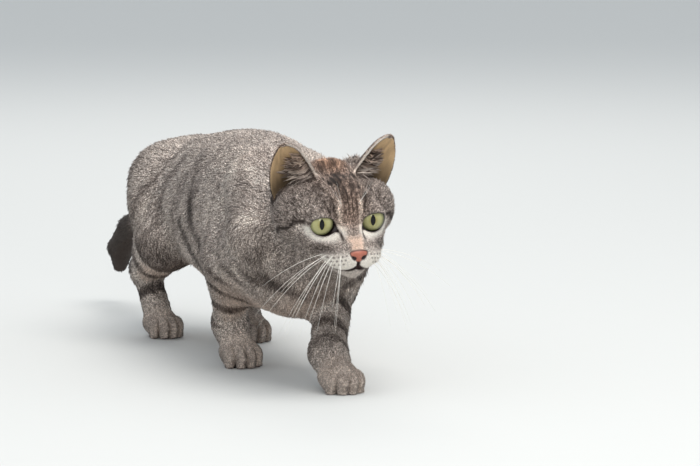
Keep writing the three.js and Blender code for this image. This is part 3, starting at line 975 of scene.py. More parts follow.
class Mesher:
    """Draws a mesh on the surface of a distance field, finer where asked."""

    settle_passes = 4
    block = 4

    def __init__(self, measure: Callable[[Points], Values], axes: Sequence[Values]) -> None:
        """Keeps the field and the grid's planes.

        Args:
            measure: The distance function.
            axes: The places of the grid's planes along X, Y and Z.
        """
        self.measure = measure
        self.axes = axes

    def sample(self) -> np.ndarray:
        """The field at the grid's points, worked out only near the surface.

        Returns:
            The grid's values.
        """
        shape = tuple(len(a) for a in self.axes)
        centres, halves = [], []
        for a in self.axes:
            starts = np.arange(0, len(a), self.block)
            ends = np.minimum(starts + self.block, len(a) - 1)
            centres.append((a[starts] + a[ends]) / 2)
            halves.append((a[ends] - a[starts]) / 2)
        mid = np.stack(np.meshgrid(*centres, indexing="ij"), -1).reshape(-1, 3)
        half = np.stack(np.meshgrid(*halves, indexing="ij"), -1).reshape(-1, 3)
        value = self.measure(mid)
        close = np.abs(value) < 1.5 * np.linalg.norm(half, axis=1) + 3
        grid = tuple(len(c) for c in centres)
        close, value = close.reshape(grid), value.reshape(grid)
        for axis in range(3):
            close = np.repeat(close, self.block, axis=axis)
            value = np.repeat(value, self.block, axis=axis)
        crop = tuple(slice(0, n) for n in shape)
        close, out = close[crop], np.where(value[crop] < 0, -FAR, FAR)
        at = np.argwhere(close)
        places = np.column_stack([a[at[:, i]] for i, a in enumerate(self.axes)])
        out[close] = np.concatenate([self.measure(part) for part in
                                     np.array_split(places, max(1, len(places) // 200000))])
        return out

    def settle(self, values: np.ndarray) -> None:
        """Changes the sides of lone corners, so that the mesh never touches itself.

        Args:
            values: The grid's values, which are changed.
        """
        for _ in range(self.settle_passes):
            for axis in range(3):
                u, v = (axis + 1) % 3, (axis + 2) % 3
                corners = []
                for du, dv in ((0, 0), (1, 0), (1, 1), (0, 1)):
                    cut = [slice(None)] * 3
                    cut[u] = slice(du, values.shape[u] - 1 + du)
                    cut[v] = slice(dv, values.shape[v] - 1 + dv)
                    corners.append(values[tuple(cut)])
                a, b, c, d = (corner < 0 for corner in corners)
                turns = np.argwhere((a == c) & (b == d) & (a != b))
                offsets = np.zeros((4, 3), int)
                offsets[:, u], offsets[:, v] = (0, 1, 1, 0), (0, 0, 1, 1)
                for at in turns:
                    ring = [tuple(at + offset) for offset in offsets]
                    nearest = min(ring, key=lambda n: abs(values[n]))
                    values[nearest] = 0.01 if values[nearest] < 0 else -0.01

    def quads(self, values: np.ndarray) -> tuple[Points, np.ndarray]:
        """One vertex in each cell that the surface crosses, and the faces between them.

        Args:
            values: The grid's values.

        Returns:
            The vertices, and four of them for each face.
        """
        inside = values < 0
        cells = tuple(n - 1 for n in values.shape)
        corners = list(np.ndindex(2, 2, 2))
        part = [inside[i:i + cells[0], j:j + cells[1], k:k + cells[2]] for i, j, k in corners]
        count = np.sum(part, axis=0, dtype=np.int8)
        at = np.argwhere((count > 0) & (count < 8))
        number = np.full(cells, -1, np.int64)
        number[tuple(at.T)] = np.arange(len(at))
        total, crossings = np.zeros((len(at), 3)), np.zeros(len(at))
        for corner in corners:
            for axis in range(3):
                if corner[axis]:
                    continue
                start, end = at + corner, at + corner
                end[:, axis] += 1
                va, vb = values[tuple(start.T)], values[tuple(end.T)]
                cross = (va < 0) != (vb < 0)
                t = np.where(cross, va / np.where(cross, va - vb, 1), 0)
                place = np.array(corner, float) + t[:, None] * np.eye(3)[axis]
                total += place * cross[:, None]
                crossings += cross
        spot = at + total / crossings[:, None]
        points = np.column_stack([np.interp(spot[:, i], np.arange(len(a)), a)
                                  for i, a in enumerate(self.axes)])
        faces = []
        for axis in range(3):
            u, v = (axis + 1) % 3, (axis + 2) % 3
            low = [slice(None)] * 3
            high = [slice(None)] * 3
            low[axis], high[axis] = slice(0, -1), slice(1, None)
            here, there = inside[tuple(low)], inside[tuple(high)]
            edge = np.argwhere(here != there)
            edge = edge[(edge[:, u] > 0) & (edge[:, v] > 0)
                        & (edge[:, u] < cells[u]) & (edge[:, v] < cells[v])]
            ring = []
            for du, dv in ((0, 0), (1, 0), (1, 1), (0, 1)):
                cell = edge.copy()
                cell[:, u] -= du
                cell[:, v] -= dv
                ring.append(number[tuple(cell.T)])
            ring = np.column_stack(ring)
            outward = here[tuple(edge.T)]
            ring[~outward] = ring[~outward][:, ::-1]
            faces.append(ring)
        return points, np.vstack(faces)

    def slope(self, p: Points, step: float = 0.06) -> tuple[Values, Points]:
        """The field and its slope, from four places round each point.

        Args:
            p: The places.
            step: How far off the four places are.

        Returns:
            The field's values and slopes.
        """
        corners = np.array([(1, -1, -1), (-1, -1, 1), (-1, 1, -1), (1, 1, 1)], float) * step
        values = [self.measure(p + corner) for corner in corners]
        slope = sum(v[:, None] * corner for v, corner in zip(values, corners))
        return np.mean(values, axis=0), slope / (4 * step * step)

    def drawn(self, p: Points, reach: float, rounds: int = 2) -> Points:
        """Places moved onto the surface.

        Args:
            p: The places.
            reach: The farthest that one round moves them.
            rounds: How often they move.

        Returns:
            The moved places.
        """
        for _ in range(rounds):
            value, slope = self.slope(p)
            steep = np.maximum((slope * slope).sum(1), 0.1)
            move = np.clip(-value / np.sqrt(steep), -reach, reach)
            p = p + slope * (move / np.sqrt(steep))[:, None]
        return p

    def shell(self, rounds: int) -> Shell:
        """The mesh over the whole grid, evened out and drawn onto the surface.

        Args:
            rounds: How often the vertices are evened out.

        Returns:
            The mesh, in triangles.
        """
        values = self.sample()
        self.settle(values)
        points, quads = self.quads(values)
        a, b, c, d = (points[quads[:, i]] for i in range(4))
        short = np.linalg.norm(a - c, axis=1) < np.linalg.norm(b - d, axis=1)
        first = np.where(short[:, None], quads[:, [0, 1, 2]], quads[:, [0, 1, 3]])
        second = np.where(short[:, None], quads[:, [0, 2, 3]], quads[:, [1, 2, 3]])
        shell = Shell(points, np.vstack([first, second]))
        for _ in range(rounds):
            shell.points = self.drawn(shell.smoothed(0.5), 1.0, 1)
        shell.points = self.drawn(shell.points, 1.0, 1)
        return shell

    def refined(self, shell: Shell, target: Callable[[Points], Values]) -> Shell:
        """The mesh with its long edges split.

        Args:
            shell: The mesh.
            target: The longest edge wanted at each place.

        Returns:
            The finer mesh, drawn onto the surface.
        """
        pairs = np.sort(np.stack([shell.faces[:, [0, 1]], shell.faces[:, [1, 2]],
                                  shell.faces[:, [2, 0]]], 1), axis=2)
        keys = pairs[..., 0].astype(np.int64) * len(shell.points) + pairs[..., 1]
        unique, where = np.unique(keys.ravel(), return_inverse=True)
        ends = np.column_stack([unique // len(shell.points), unique % len(shell.points)])
        middle = shell.points[ends].mean(1)
        length = np.linalg.norm(shell.points[ends[:, 0]] - shell.points[ends[:, 1]], axis=1)
        split = length > target(middle)
        number = np.full(len(unique), -1, np.int64)
        number[split] = len(shell.points) + np.arange(split.sum())
        points = np.vstack([shell.points, self.drawn(middle[split], 0.6)])
        mids = number[where].reshape(-1, 3)
        faces = [shell.faces[(mids < 0).all(1)]]
        for turn in range(3):
            order = [turn, (turn + 1) % 3, (turn + 2) % 3]
            a, b, c = shell.faces[:, order].T
            ab, bc, ca = mids[:, order].T
            one = (ab >= 0) & (bc < 0) & (ca < 0)
            faces += [np.column_stack(t)[one] for t in ((a, ab, c), (ab, b, c))]
            two = (ab >= 0) & (bc >= 0) & (ca < 0)
            faces += [np.column_stack(t)[two] for t in ((ab, b, bc), (a, ab, bc), (a, bc, c))]
        a, b, c = shell.faces.T
        ab, bc, ca = mids.T
        three = (mids >= 0).all(1)
        faces += [np.column_stack(t)[three]
                  for t in ((a, ab, ca), (ab, b, bc), (ca, bc, c), (ab, bc, ca))]
        return Shell(points, np.vstack(faces))


@dataclass(frozen=True)
class SkinForm:
    """How finely the skin is made."""

    head_cell: float = 1.3
    body_cell: float = 3.2
    ear_swell: float = 1.1
    rounds: int = 3

    def detail(self, p: Points) -> Values:
        """The longest edge wanted: short round the eyes, nose, mouth and ears' rims.

        Args:
            p: Places in the cat's frame.

        Returns:
            The longest edge at each place.
        """
        m = mirrored(HEAD.inward(p))
        wanted = np.where(np.abs(CAT.eye.edge(m)) < 2.4, 0.62, 9.0)
        _, up, behind, outside = CAT.ear.parts(m)
        on_rim = (np.abs(outside) < 2.5) & (np.abs(behind) < 5) & (up > -4)
        wanted = np.where(on_rim & (m[:, 2] > 8), 1.1, wanted)
        nose = CAT.nose.edge(m) < 1.5
        mouth = (CAT.mouth.edge(m) < 2.2) & (m[:, 1] > 4)
        return np.where(nose | mouth, 0.62, wanted)

    def build(self) -> tuple[Shell, Points]:
        """Makes the skin.

        Returns:
            The mesh and its outward normals.
        """
        axes = (graded(-82, 82, -54, 56, self.head_cell, self.body_cell),
                graded(-242, 404, -238, -160, self.head_cell, self.body_cell),
                graded(-4, 216, 92, 212, self.head_cell, self.body_cell))
        thick = Mesher(lambda p: CAT.skin(p, self.ear_swell), axes)
        shell = thick.shell(self.rounds)
        thin = Mesher(CAT.skin, axes)
        for _ in range(2):
            shell = thin.refined(shell, self.detail)
            shell.points = thin.drawn(shell.smoothed(0.35), 0.6, 2)
        _, slope = thin.slope(shell.points)
        return shell, unit(slope)


# ------------------------------------------------------------------ the coat's colours


def daylight(red: float, green: float, blue: float) -> Points:
    """A colour as it looks in daylight, from 0 to 255, as linear light."""
    c = np.array([red, green, blue], float) / 255
    return np.where(c <= 0.04045, c / 12.92, ((c + 0.055) / 1.055) ** 2.4)


@dataclass(frozen=True)
class Tints:
    """The colours that the cat is made of."""

    stops: tuple[float, ...] = (0.0, 0.2, 0.5, 0.78, 1.0)
    greys: tuple[Triple, ...] = (
        (28, 24, 22), (80, 71, 66), (151, 142, 136), (206, 198, 190), (246, 241, 231),
    )
    rufous: Triple = (1.32, 0.90, 0.66)
    leather: Triple = (178, 106, 86)
    leather_rim: Triple = (52, 32, 30)
    lid: Triple = (17, 13, 13)
    # the mouth's tint: partly the lips' own dark edge, partly painted shadow of the mouth's opening
    mouth: Triple = (40, 24, 22)
    pad: Triple = (86, 68, 66)
    ear_lining: Triple = (190, 160, 122)

    def coat(self, shade: Values, warmth: Values) -> Points:
        """The coat's colour.

        Args:
            shade: From 0, black, through 0.5, the coat's grey, to 1, white.
            warmth: From 0, plain, to 1, rufous.

        Returns:
            Linear colours.
        """
        rows = np.array([daylight(*grey) for grey in self.greys])
        plain = np.column_stack([np.interp(shade, self.stops, rows[:, i]) for i in range(3)])
        return plain * (1 + warmth[:, None] * (np.array(self.rufous) - 1))


TINTS = Tints()


@dataclass
class Marks:
    """How dark, warm and ticked the coat is at each of a set of places."""

    shade: Values
    warmth: Values
    ticking: Values

    def towards(self, shade: float, amount: Values) -> None:
        """Turns the coat towards a shade by an amount from 0 to 1."""
        self.shade += (shade - self.shade) * np.clip(amount, 0, 1)


@dataclass(frozen=True)
class Stroke:
    """A soft stroke of one shade along a bent line, which both sides of the cat have."""

    shade: float
    amount: float
    width: float
    line: tuple[Triple, ...]

    def at(self, p: Points) -> Values:
        """How much of the stroke is at each place, from 0 to 1."""
        return streak(p, self.line, self.width)


@dataclass(frozen=True)
class Tabby:
    """The markings of a grey mackerel tabby, by place."""

    blotch: Noise = field(default_factory=lambda: Noise(11))
    grain: Noise = field(default_factory=lambda: Noise(12))
    ring_gap: float = 25.0
    band_gap: float = 38.0
    tail_ring_gap: float = 31.0
    tail_dark_from: float = 0.60
    body_shade: float = 0.57
    face_shade: float = 0.43
    flat_side: float = 50.0
    # painted shade of the crease behind the shoulder, drawn as a dark line; the armpit's bars are a
    # marking, darkened further as painted shade of the fold
    shoulder_edge: Stroke = Stroke(0.30, 0.8, 6, ((50, 40, 164), (50, 24, 146), (50, 12, 128)))
    armpit_bars: tuple[tuple[Triple, ...], ...] = (
        ((50, 24, 138), (50, 12, 120), (50, -14, 99), (50, -42, 80), (50, -56, 64)),
        ((50, 44, 116), (50, 26, 100), (50, 6, 80), (50, -20, 62)),
    )
    necklaces: Pair = (70, 50)
    chest_bars: tuple[Stroke, ...] = (
        Stroke(0.08, 0.95, 3.8, ((47, -104, 99), (41, -112, 93), (28, -122, 83))),
        Stroke(0.08, 0.95, 3.8, ((22, -126, 92), (12, -132, 84), (2, -136, 78), (-4, -130, 72))),
    )
    brow_lines: tuple[Pair, ...] = ((1.5, 0.7), (4.9, 0.95), (8.0, 0.65), (16.5, 1.0))
    brow_edge: Stroke = Stroke(0.1, 0.85, 1.4, ((12.4, 8.5, 6.8), (13.2, 6.8, 15), (14.5, 2.5, 21)))
    pale_behind_eye: Stroke = Stroke(
        0.96, 0.9, 3.0, ((31.5, 0, -3.5), (37, -3.5, -4.0), (43.5, -8, -7.0)))
    pale_beside_bridge: Stroke = Stroke(
        0.96, 0.85, 1.9, ((8.2, 14, -6), (8.8, 11, 2), (9.0, 9, 10), (8.6, 8, 17)))
    pale_temple: Stroke = Stroke(0.96, 0.6, 2.4, ((22, -13, 21.5), (28, -27, 21), (34, -40, 16)))
    eye_line: tuple[Pair, ...] = (
        (52, 0.6), (62, 1.0), (66, -3.6), (71, -5.6), (80, -6.5), (92, -13))
    cheek_lines: tuple[Stroke, ...] = (
        Stroke(0.12, 0.8, 2.0, ((17, -2, -27), (22, -12, -26), (28, -28, -26.5), (33, -46, -28))),
        Stroke(0.2, 0.55, 2.2, ((30, -14, -18), (37, -26, -24), (38, -44, -27))),
        Stroke(0.06, 0.95, 1.4, ((11.0, 10.5, -4.5), (9.2, 13.5, -8.6), (8.8, 17.5, -12.5))),
        Stroke(0.1, 0.7, 0.9, ((8.8, 17.5, -12.5), (8.8, 22.0, -17.0), (8.2, 24.5, -20.5))),
    )
    whisker_rows: Triple = (-22.5, -25.8, -29.2)
    whisker_spots: int = 5

    def at(self, p: Points, n: Points) -> Marks:
        """The marks at places in the cat's frame with the given outward normals.

        Args:
            p: Places in the cat's frame.
            n: The outward normals there.

        Returns:
            The marks.
        """
        q = HEAD.inward(p)
        head = ramp(q[:, 1], -66, -44) * ramp(q[:, 2], -60, -46)
        marks = self.body(p, n)
        face = self.face(q, p)
        ticking = marks.ticking + (face.ticking - marks.ticking) * head
        return Marks(
            np.clip(marks.shade + (face.shade - marks.shade) * head, 0, 1),
            np.clip(marks.warmth + (face.warmth - marks.warmth) * head, 0, 1),
            ticking)

    def body(self, p: Points, n: Points) -> Marks:
        """The marks of the trunk, the legs and the tail.

        Args:
            p: Places in the cat's frame.
            n: The outward normals there.

        Returns:
            The marks.
        """
        x, y, z = p.T
        m = np.abs(x)
        large, small = self.blotch.layers(p, 34) - 0.5, self.grain.layers(p, 15) - 0.5
        marks = Marks(self.body_shade + 0.20 * small + 0.10 * large, np.full(len(p), 0.09),
                      np.ones(len(p)))
        flank = ramp(m, 16, 40) * ramp(z, 60, 80)
        back = ramp(z, 150, 178)
        marks.shade += 0.09 * back
        marks.warmth += 0.04 * back
        # painted shade: the coat is darker low on the front half of the body, under the shoulders and
        # chest
        marks.shade -= 0.09 * ramp(z, 130, 84) * ramp(y, 30, -30)
        # upright bands down the flank and the haunch, broken and soft
        across = y + 26 * large + 0.22 * (z - 120)
        band = ramp(np.cos(2 * np.pi * (across - 58) / self.band_gap), 0.25, 0.95)
        broken = 0.45 + 1.1 * self.grain.at(p * [1, 1, 0.45], 20)
        marks.shade -= 0.13 * band * flank * broken * ramp(y, -8, 20)
        # the darker line down the spine and its broken neighbours
        spine = bump(x, 0, 7) + 0.5 * bump(m, 19, 5) * broken
        marks.shade -= 0.13 * spine * back * ramp(y, -110, -60)
        # short upright streaks on the shoulder
        streaks = self.grain.at(p * [1, 1, 0.28], 7.5) - 0.5
        shoulder = ramp(m, 26, 40) * ramp(y, -6, -22) * ramp(z, 66, 88)
        marks.shade -= 0.34 * streaks * shoulder
        # the dark line behind the shoulder, painted shade of the crease there, and the bars in the fold
        # of the armpit, a marking darkened further as painted shade of the fold
        side = np.column_stack([np.full(len(p), self.flat_side), y, z])
        edge = self.shoulder_edge
        marks.towards(edge.shade, edge.amount * edge.at(side) * (0.4 + self.grain.at(p, 9))
                      * ramp(m, 24, 38))
        for line in self.armpit_bars:
            bar = bump(follow(side, line)[0], 0, 5.6 + 5 * large) * (0.5 + 0.8 * self.grain.at(p, 9))
            marks.towards(0.09, 0.85 * bar * ramp(m, 22, 34))
        # the necklaces on the chest
        collar = z - 0.34 * m
        chest = ramp(y, -88, -102) * ramp(z, 128, 112)
        for height in self.necklaces:
            marks.towards(0.12, 0.85 * bump(collar, height + 8 * large, 3.6) * chest * broken)
        for bar in self.chest_bars:
            marks.towards(bar.shade, bar.amount * bar.at(np.column_stack([m, y, z])))
        front = ramp(-n[:, 1], 0.25, 0.75) * ramp(m, 30, 16) * ramp(z, 112, 96) * ramp(z, 52, 62)
        marks.towards(0.72, 0.55 * front * (1 - 0.8 * bump(collar, self.necklaces[0], 6)))
        # the belly is paler
        belly = ramp(n[:, 2], -0.35, -0.85) * ramp(z, 96, 60)
        marks.towards(0.74, 0.7 * belly)
        marks.warmth += 0.22 * belly
        marks.ticking -= 0.4 * belly
        self.legs(p, marks)
        self.tail(p, marks)
        return marks

    def legs(self, p: Points, marks: Marks) -> None:
        """The bars round the legs, and the paler feet.

        Args:
            p: Places in the cat's frame.
            marks: The marks there, which are changed.
        """
        for limb in CAT.limbs.values():
            gap, along, _ = follow(p, limb.joints)
            on = ramp(gap, 34, 22) * ramp(p[:, 2], 104, 76)
            total = sum(math.dist(a, b) for a, b in zip(limb.joints, limb.joints[1:]))
            from_toes = total - along + 7 * (self.blotch.at(p, 22) - 0.5)
            small = self.grain.layers(p, 6) - 0.5
            ring = ramp(np.cos(2 * np.pi * (from_toes - 44) / self.ring_gap) + 0.8 * small, 0.0, 0.75)
            inner = 0.45 + 0.55 * ramp(np.sign(limb.joints[0][0]) * p[:, 0], 0, 26)
            marks.towards(0.70, 0.65 * on)
            fade = 0.55 + 0.5 * self.grain.at(p, 7)
            marks.towards(0.09, 0.88 * fade * ring * on * inner * ramp(from_toes, 22, 30))
            foot = on * ramp(from_toes, 30, 18)
            marks.towards(0.74, 0.7 * foot)
            marks.warmth += 0.08 * foot
            marks.ticking -= 0.35 * foot

    def tail(self, p: Points, marks: Marks) -> None:
        """The rings round the tail, and its black end.

        Args:
            p: Places in the cat's frame.
            marks: The marks there, which are changed.
        """
        gap, along, _ = follow(p, CAT.tail.line)
        on = ramp(gap, 34, 24) * ramp(p[:, 1], 196, 216)
        rings = ramp(np.cos(2 * np.pi * along / self.tail_ring_gap), 0.1, 0.9)
        marks.towards(0.42, 0.6 * on)
        marks.towards(0.18, 0.6 * on * rings)
        whole = float(np.linalg.norm(np.diff(CAT.tail.line, axis=0), axis=1).sum())
        black = on * ramp(along / whole, self.tail_dark_from - 0.05, self.tail_dark_from + 0.07)
        marks.towards(0.11, black)
        marks.ticking -= 0.6 * black

    def face(self, q: Points, p: Points) -> Marks:
        """The marks of the head, at places q on the head and p in the cat's frame.

        Args:
            q: Places on the head.
            p: The same places in the cat's frame.

        Returns:
            The marks.
        """
        at = mirrored(q)
        m, forward, up = at.T
        fine = self.grain.layers(p, 8) - 0.5
        low = ramp(up, -6, -16)
        marks = Marks(self.face_shade + 0.16 * fine + 0.02 * low, np.full(len(q), 0.10),
                      np.ones(len(q)))
        self.brow(q, at, marks)
        self.pale(at, marks)
        # the bridge of the nose, rosy above the leather and brown-grey higher up
        soft = m + 3.0 * fine
        bridge = ramp(soft, 8.0, 3.6) * ramp(up, -21, -18) * ramp(up, -6, -12) * ramp(forward, 8, 12)
        marks.towards(0.76, 0.9 * bridge)
        marks.warmth += 0.42 * bridge
        marks.ticking -= 0.7 * bridge
        self.dark(at, marks)
        self.ears(at, marks)
        return marks

    def brow(self, q: Points, at: Points, marks: Marks) -> None:
        """The warm crown and the upright lines of the brow, which spread towards the ears.

        Args:
            q: Places on the head.
            at: The same places, with X made positive.
            marks: The marks there, which are changed.
        """
        m, forward, up = at.T
        middle = bump(m, 0, 15) * ramp(up, -10, 4) * ramp(forward, -60, -30)
        marks.warmth += 0.38 * middle
        marks.shade -= 0.05 * middle
        crown = np.exp(-(((m / 14) ** 2) + ((forward + 37) / 13) ** 2)) * ramp(up, 14, 26)
        marks.warmth += 0.80 * crown
        marks.shade += 0.04 * crown
        spread = m / (1 + 0.016 * np.maximum(up - 8, 0) + 0.012 * np.maximum(-forward, 0))
        rise = ramp(up, 3, 9) * ramp(forward, -42, -16)
        ragged = 0.45 + 0.9 * self.grain.at(q * [1, 0.45, 0.45], 4.0)
        lines = sum(bump(spread, centre, width) for centre, width in self.brow_lines)
        marks.towards(0.12, 0.72 * np.minimum(lines, 1) * rise * ragged)
        marks.towards(self.brow_edge.shade, self.brow_edge.amount * self.brow_edge.at(at))
        mottled = ramp(self.grain.at(q * [1, 0.6, 0.6], 3.6), 0.45, 0.7)
        marks.shade -= 0.15 * mottled * ramp(up, 18, 26) * ramp(m, 26, 16) * ramp(forward, -42, -22)
        marks.shade -= 0.12 * mottled * ramp(up, -4, 6)

    def pale(self, at: Points, marks: Marks) -> None:
        """The pale fur of the muzzle and the chin, round the eyes and beside the bridge.

        Args:
            at: Places on the head, with X made positive.
            marks: The marks there, which are changed.
        """
        _, forward, up = at.T
        lids = CAT.eye.edge(at)
        muzzle = ramp(ellipsoid(at, (8.5, 15, -28), (17, 16, 11)), 3.0, -1.5)
        muzzle *= ramp(up, -38, -35.5)
        chin = ramp(up, -34.5, -38) * ramp(forward, -16, 2)
        under = bump(lids, 2.6, 3.6) * ramp(up, 1.0, -3.5) * ramp(forward, -8, -1)
        over = 0.35 * bump(lids, 1.6, 0.9) * ramp(up, 0, 3)
        cheek = 0.12 * bump(up, -20, 9) * ramp(forward, 2, -16)
        strokes = (self.pale_behind_eye, self.pale_beside_bridge, self.pale_temple)
        # the chin is turned only half way to pale: its own cream, darkened as painted shade under the
        # jaw
        whole = np.maximum.reduce([0.97 * muzzle, 0.5 * chin, under, over, cheek,
                                   *[stroke.amount * stroke.at(at) for stroke in strokes]])
        marks.towards(0.96, whole)
        marks.ticking -= 0.75 * np.maximum(muzzle, np.maximum(chin, under))
        marks.warmth -= 0.08 * whole

    def dark(self, at: Points, marks: Marks) -> None:
        """The dark lines behind the eyes and on the cheeks, and the spots by the nose.

        Args:
            at: Places on the head, with X made positive.
            marks: The marks there, which are changed.
        """
        m, forward, up = at.T
        smudge = np.exp(-(((m - 24) / 8) ** 2 + ((up + 19.0) / 3.4) ** 2)) * ramp(forward, -10, -2)
        marks.towards(0.20, 0.74 * smudge)
        # the line behind the eye, by its turn round the head in degrees and its height
        turn = np.degrees(np.arctan2(m, forward + 30))
        around = np.column_stack([0.75 * turn, np.zeros(len(m)), up])
        line = [(0.75 * angle, 0, height) for angle, height in self.eye_line]
        stroke = streak(around, line, 1.5)
        marks.towards(0.03, 0.97 * stroke)
        marks.ticking -= 0.7 * stroke
        for line in self.cheek_lines:
            stroke = line.at(at)
            marks.towards(line.shade, line.amount * stroke)
            marks.ticking -= 0.7 * stroke
        hollow = np.exp(-(((m - 25) / 8) ** 2 + ((forward + 31) / 9) ** 2 + ((up - 27) / 8) ** 2))
        marks.towards(0.2, 0.75 * hollow)
        # beside the philtrum and along the lips: the lips' own dark edge, and near the middle painted
        # shadow of the mouth's opening
        lips = ramp(CAT.mouth.edge(at), 1.7, 0.4) * (0.15 + 0.85 * ramp(m, 9, 4))
        marks.towards(0.08, 0.85 * lips)
        # the rows of dark spots that the whiskers grow from
        for row, height in enumerate(self.whisker_rows):
            for column in range(self.whisker_spots):
                spot = (10.5 + 3.0 * column + 0.9 * row, height - 0.5 * column)
                apart = np.hypot(m - spot[0], up - spot[1])
                marks.towards(0.14, 0.8 * bump(apart, 0, 0.7) * ramp(forward, 4, 10))

    def ears(self, at: Points, marks: Marks) -> None:
        """The pale line up each ear's inner edge and the dark one on its outer edge.

        Args:
            at: Places on the head, with X made positive.
            marks: The marks there, which are changed.
        """
        across, up, behind, outside = CAT.ear.parts(at)
        rim = ramp(np.abs(outside), 1.7, 0.7) * ramp(up, -4, 2) * ramp(np.abs(behind), 6, 3)
        inner = rim * ramp(across, -0.2, -0.6) * ramp(behind, 1.8, 0.6)
        marks.towards(0.95, 0.85 * inner)
        marks.ticking -= 0.8 * inner
        tip = rim * ramp(up, 12, 22)
        marks.towards(0.62, 0.75 * tip * (1 - inner))
        marks.warmth += 0.25 * tip * (1 - inner)
        outer = rim * ramp(across, 0.5, 0.85) * ramp(up, 20, 9)
        marks.towards(0.10, 0.85 * outer)
        pocket = ramp(across, 0.55, 0.9) * ramp(up, 15, 9) * ramp(up, -4, 0) * ramp(outside, 3, 1)
        marks.towards(0.10, 0.8 * pocket * ramp(np.abs(behind), 8, 4))


TABBY = Tabby()


@dataclass
class Bare:
    """Where the skin shows: how much of each kind of bare skin is at each place."""

    leather: Values
    nostril: Values
    lid: Values
    mouth: Values
    pad: Values
    lining: Values

    @property
    def any(self) -> Values:
        """How bare each place is, the ears' lining aside."""
        return np.maximum.reduce([self.leather, self.nostril, self.lid, self.mouth, self.pad])


def bare_at(p: Points, n: Points) -> Bare:
    """Finds the bare skin.

    Args:
        p: Places on the skin, in the cat's frame.
        n: The outward normals there.

    Returns:
        The amounts of each kind of bare skin.
    """
    q = HEAD.inward(p)
    m = mirrored(q)
    leather = ramp(CAT.nose.edge(m), 0.3, -0.3) * ramp(m[:, 1], 19.5, 21)
    nostril = ramp(CAT.nose.nostril(m), 1.0, 0.2) * ramp(m[:, 1], 20, 22)
    lid = ramp(CAT.eye.edge(m), 0.65, 0.25) * ramp(m[:, 1], -7, -5)
    mouth = ramp(CAT.mouth.edge(m), 0.7, 0.1) * ramp(m[:, 0], 10, 5) * (leather < 0.5)
    pad = ramp(n[:, 2], -0.55, -0.85) * ramp(p[:, 2], 4.0, 2.2)
    facing = n @ HEAD.axes.T
    facing[:, 0] *= np.sign(q[:, 0])
    across, up, behind, outside = CAT.ear.parts(m)
    inner = (behind < 1.4) & (behind > -3) & (up > -5) & (m[:, 2] > 10)
    inner &= outside < np.where(across < 0, -1.6, -0.2)
    lining = ramp(-(facing @ CAT.ear.axes[2]), 0.05, 0.35) * inner
    return Bare(leather, nostril, lid, mouth, pad, lining)


def skin_colours(p: Points, n: Points, bare: Bare) -> Points:
    """The skin's linear colours: the coat's own, darkened as painted shade under the tufts, and bare
    skin where it shows.

    Args:
        p: Places in the cat's frame.
        n: The outward normals there.
        bare: How much of each kind of bare skin is there.

    Returns:
        A colour for each place.
    """
    marks = TABBY.at(p, n)
    # painted shade: the skin under the coat is a little darker than the tufts' own colour
    colour = TINTS.coat(np.clip(marks.shade - 0.06, 0, 1), marks.warmth) * 0.8
    m = mirrored(HEAD.inward(p))
    across, up, _, _ = CAT.ear.parts(m)
    strands = TABBY.grain.at(np.column_stack([up / 9, 8 * across, m[:, 1] / 9]), 1.0)
    # the lining is painted darker towards the ear's base, as shade deep in the cup, and brighter higher
    # up, as light through the thin ear
    depth = (0.20 + 0.80 * ramp(up, -3, 30)) * (0.75 + 0.5 * strands)
    lining = np.outer(depth, daylight(*TINTS.ear_lining))
    rim = daylight(*TINTS.leather_rim)
    plain = daylight(*TINTS.leather)
    low = ramp(m[:, 2], -22, -25)
    edge = CAT.nose.edge(m)
    leather = plain + np.outer(0.9 * ramp(edge - 0.6 * low, -1.5, -0.3), rim - plain)
    # the nostrils are painted near black as shade inside them; the mouth's line is dark, partly its own
    # colour and partly painted shadow of its opening
    for amount, tint in ((bare.lining, lining), (bare.leather, leather), (bare.nostril, rim * 0.25),
                         (bare.mouth, daylight(*TINTS.mouth)), (bare.lid, daylight(*TINTS.lid)),
                         (bare.pad, daylight(*TINTS.pad))):
        colour += (tint - colour) * amount[:, None]
    return colour


# ------------------------------------------------------------------ the coat's tufts


@dataclass(frozen=True)
class Region:
    """A part of the coat that is made as one piece."""

    name: str
    axis: int
    holds: Callable[[Points, Points], np.ndarray]


def on_head(q: Points) -> np.ndarray:
    """Which places belong to the head's part of the coat."""
    return (q[:, 1] > -56) & (q[:, 2] > -58)


def on_ear(q: Points) -> np.ndarray:
    """Which places belong to an ear's part of the coat."""
    m = mirrored(q)
    _, up, behind, outside = CAT.ear.parts(m)
    return on_head(q) & (up > 0) & (np.abs(behind) < 4) & (outside < 2) & (m[:, 2] > 12)


def regions() -> list[Region]:
    """The coat's regions, each taking what the ones before it leave."""
    found = []
    for side in Side:
        found.append(Region(f"coat_ear_{side.word}", 2, lambda p, q, s=side.value:
                            on_ear(q) & (q[:, 0] * s > 0)))
    for side in Side:
        found.append(Region(f"coat_face_{side.word}", 1, lambda p, q, s=side.value:
                            on_head(q) & (q[:, 1] > -10) & (q[:, 0] * s >= 0)))
    found.append(Region("coat_crown", 1, lambda p, q: on_head(q) & (q[:, 2] > 8)))
    for side in Side:
        found.append(Region(f"coat_cheek_{side.word}", 1, lambda p, q, s=side.value:
                            on_head(q) & (q[:, 0] * s >= 0)))
    for name, limb in CAT.limbs.items():
        found.append(Region(f"coat_{name}", 2, lambda p, q, limb=limb:
                            (p[:, 2] < 82) & (follow(p, limb.joints)[0] < 30)))
    found.append(Region("coat_tail", 1, lambda p, q: (p[:, 1] > 214) & (p[:, 2] < 150)))
    for side in Side:
        for name, low, high in (("neck", -400, -100), ("shoulder", -100, -20),
                                ("flank", -20, 80), ("haunch", 80, 500)):
            found.append(Region(f"coat_{name}_{side.word}", 1,
                                lambda p, q, s=side.value, a=low, b=high:
                                (p[:, 0] * s >= 0) & (p[:, 1] >= a) & (p[:, 1] < b)))
    return found


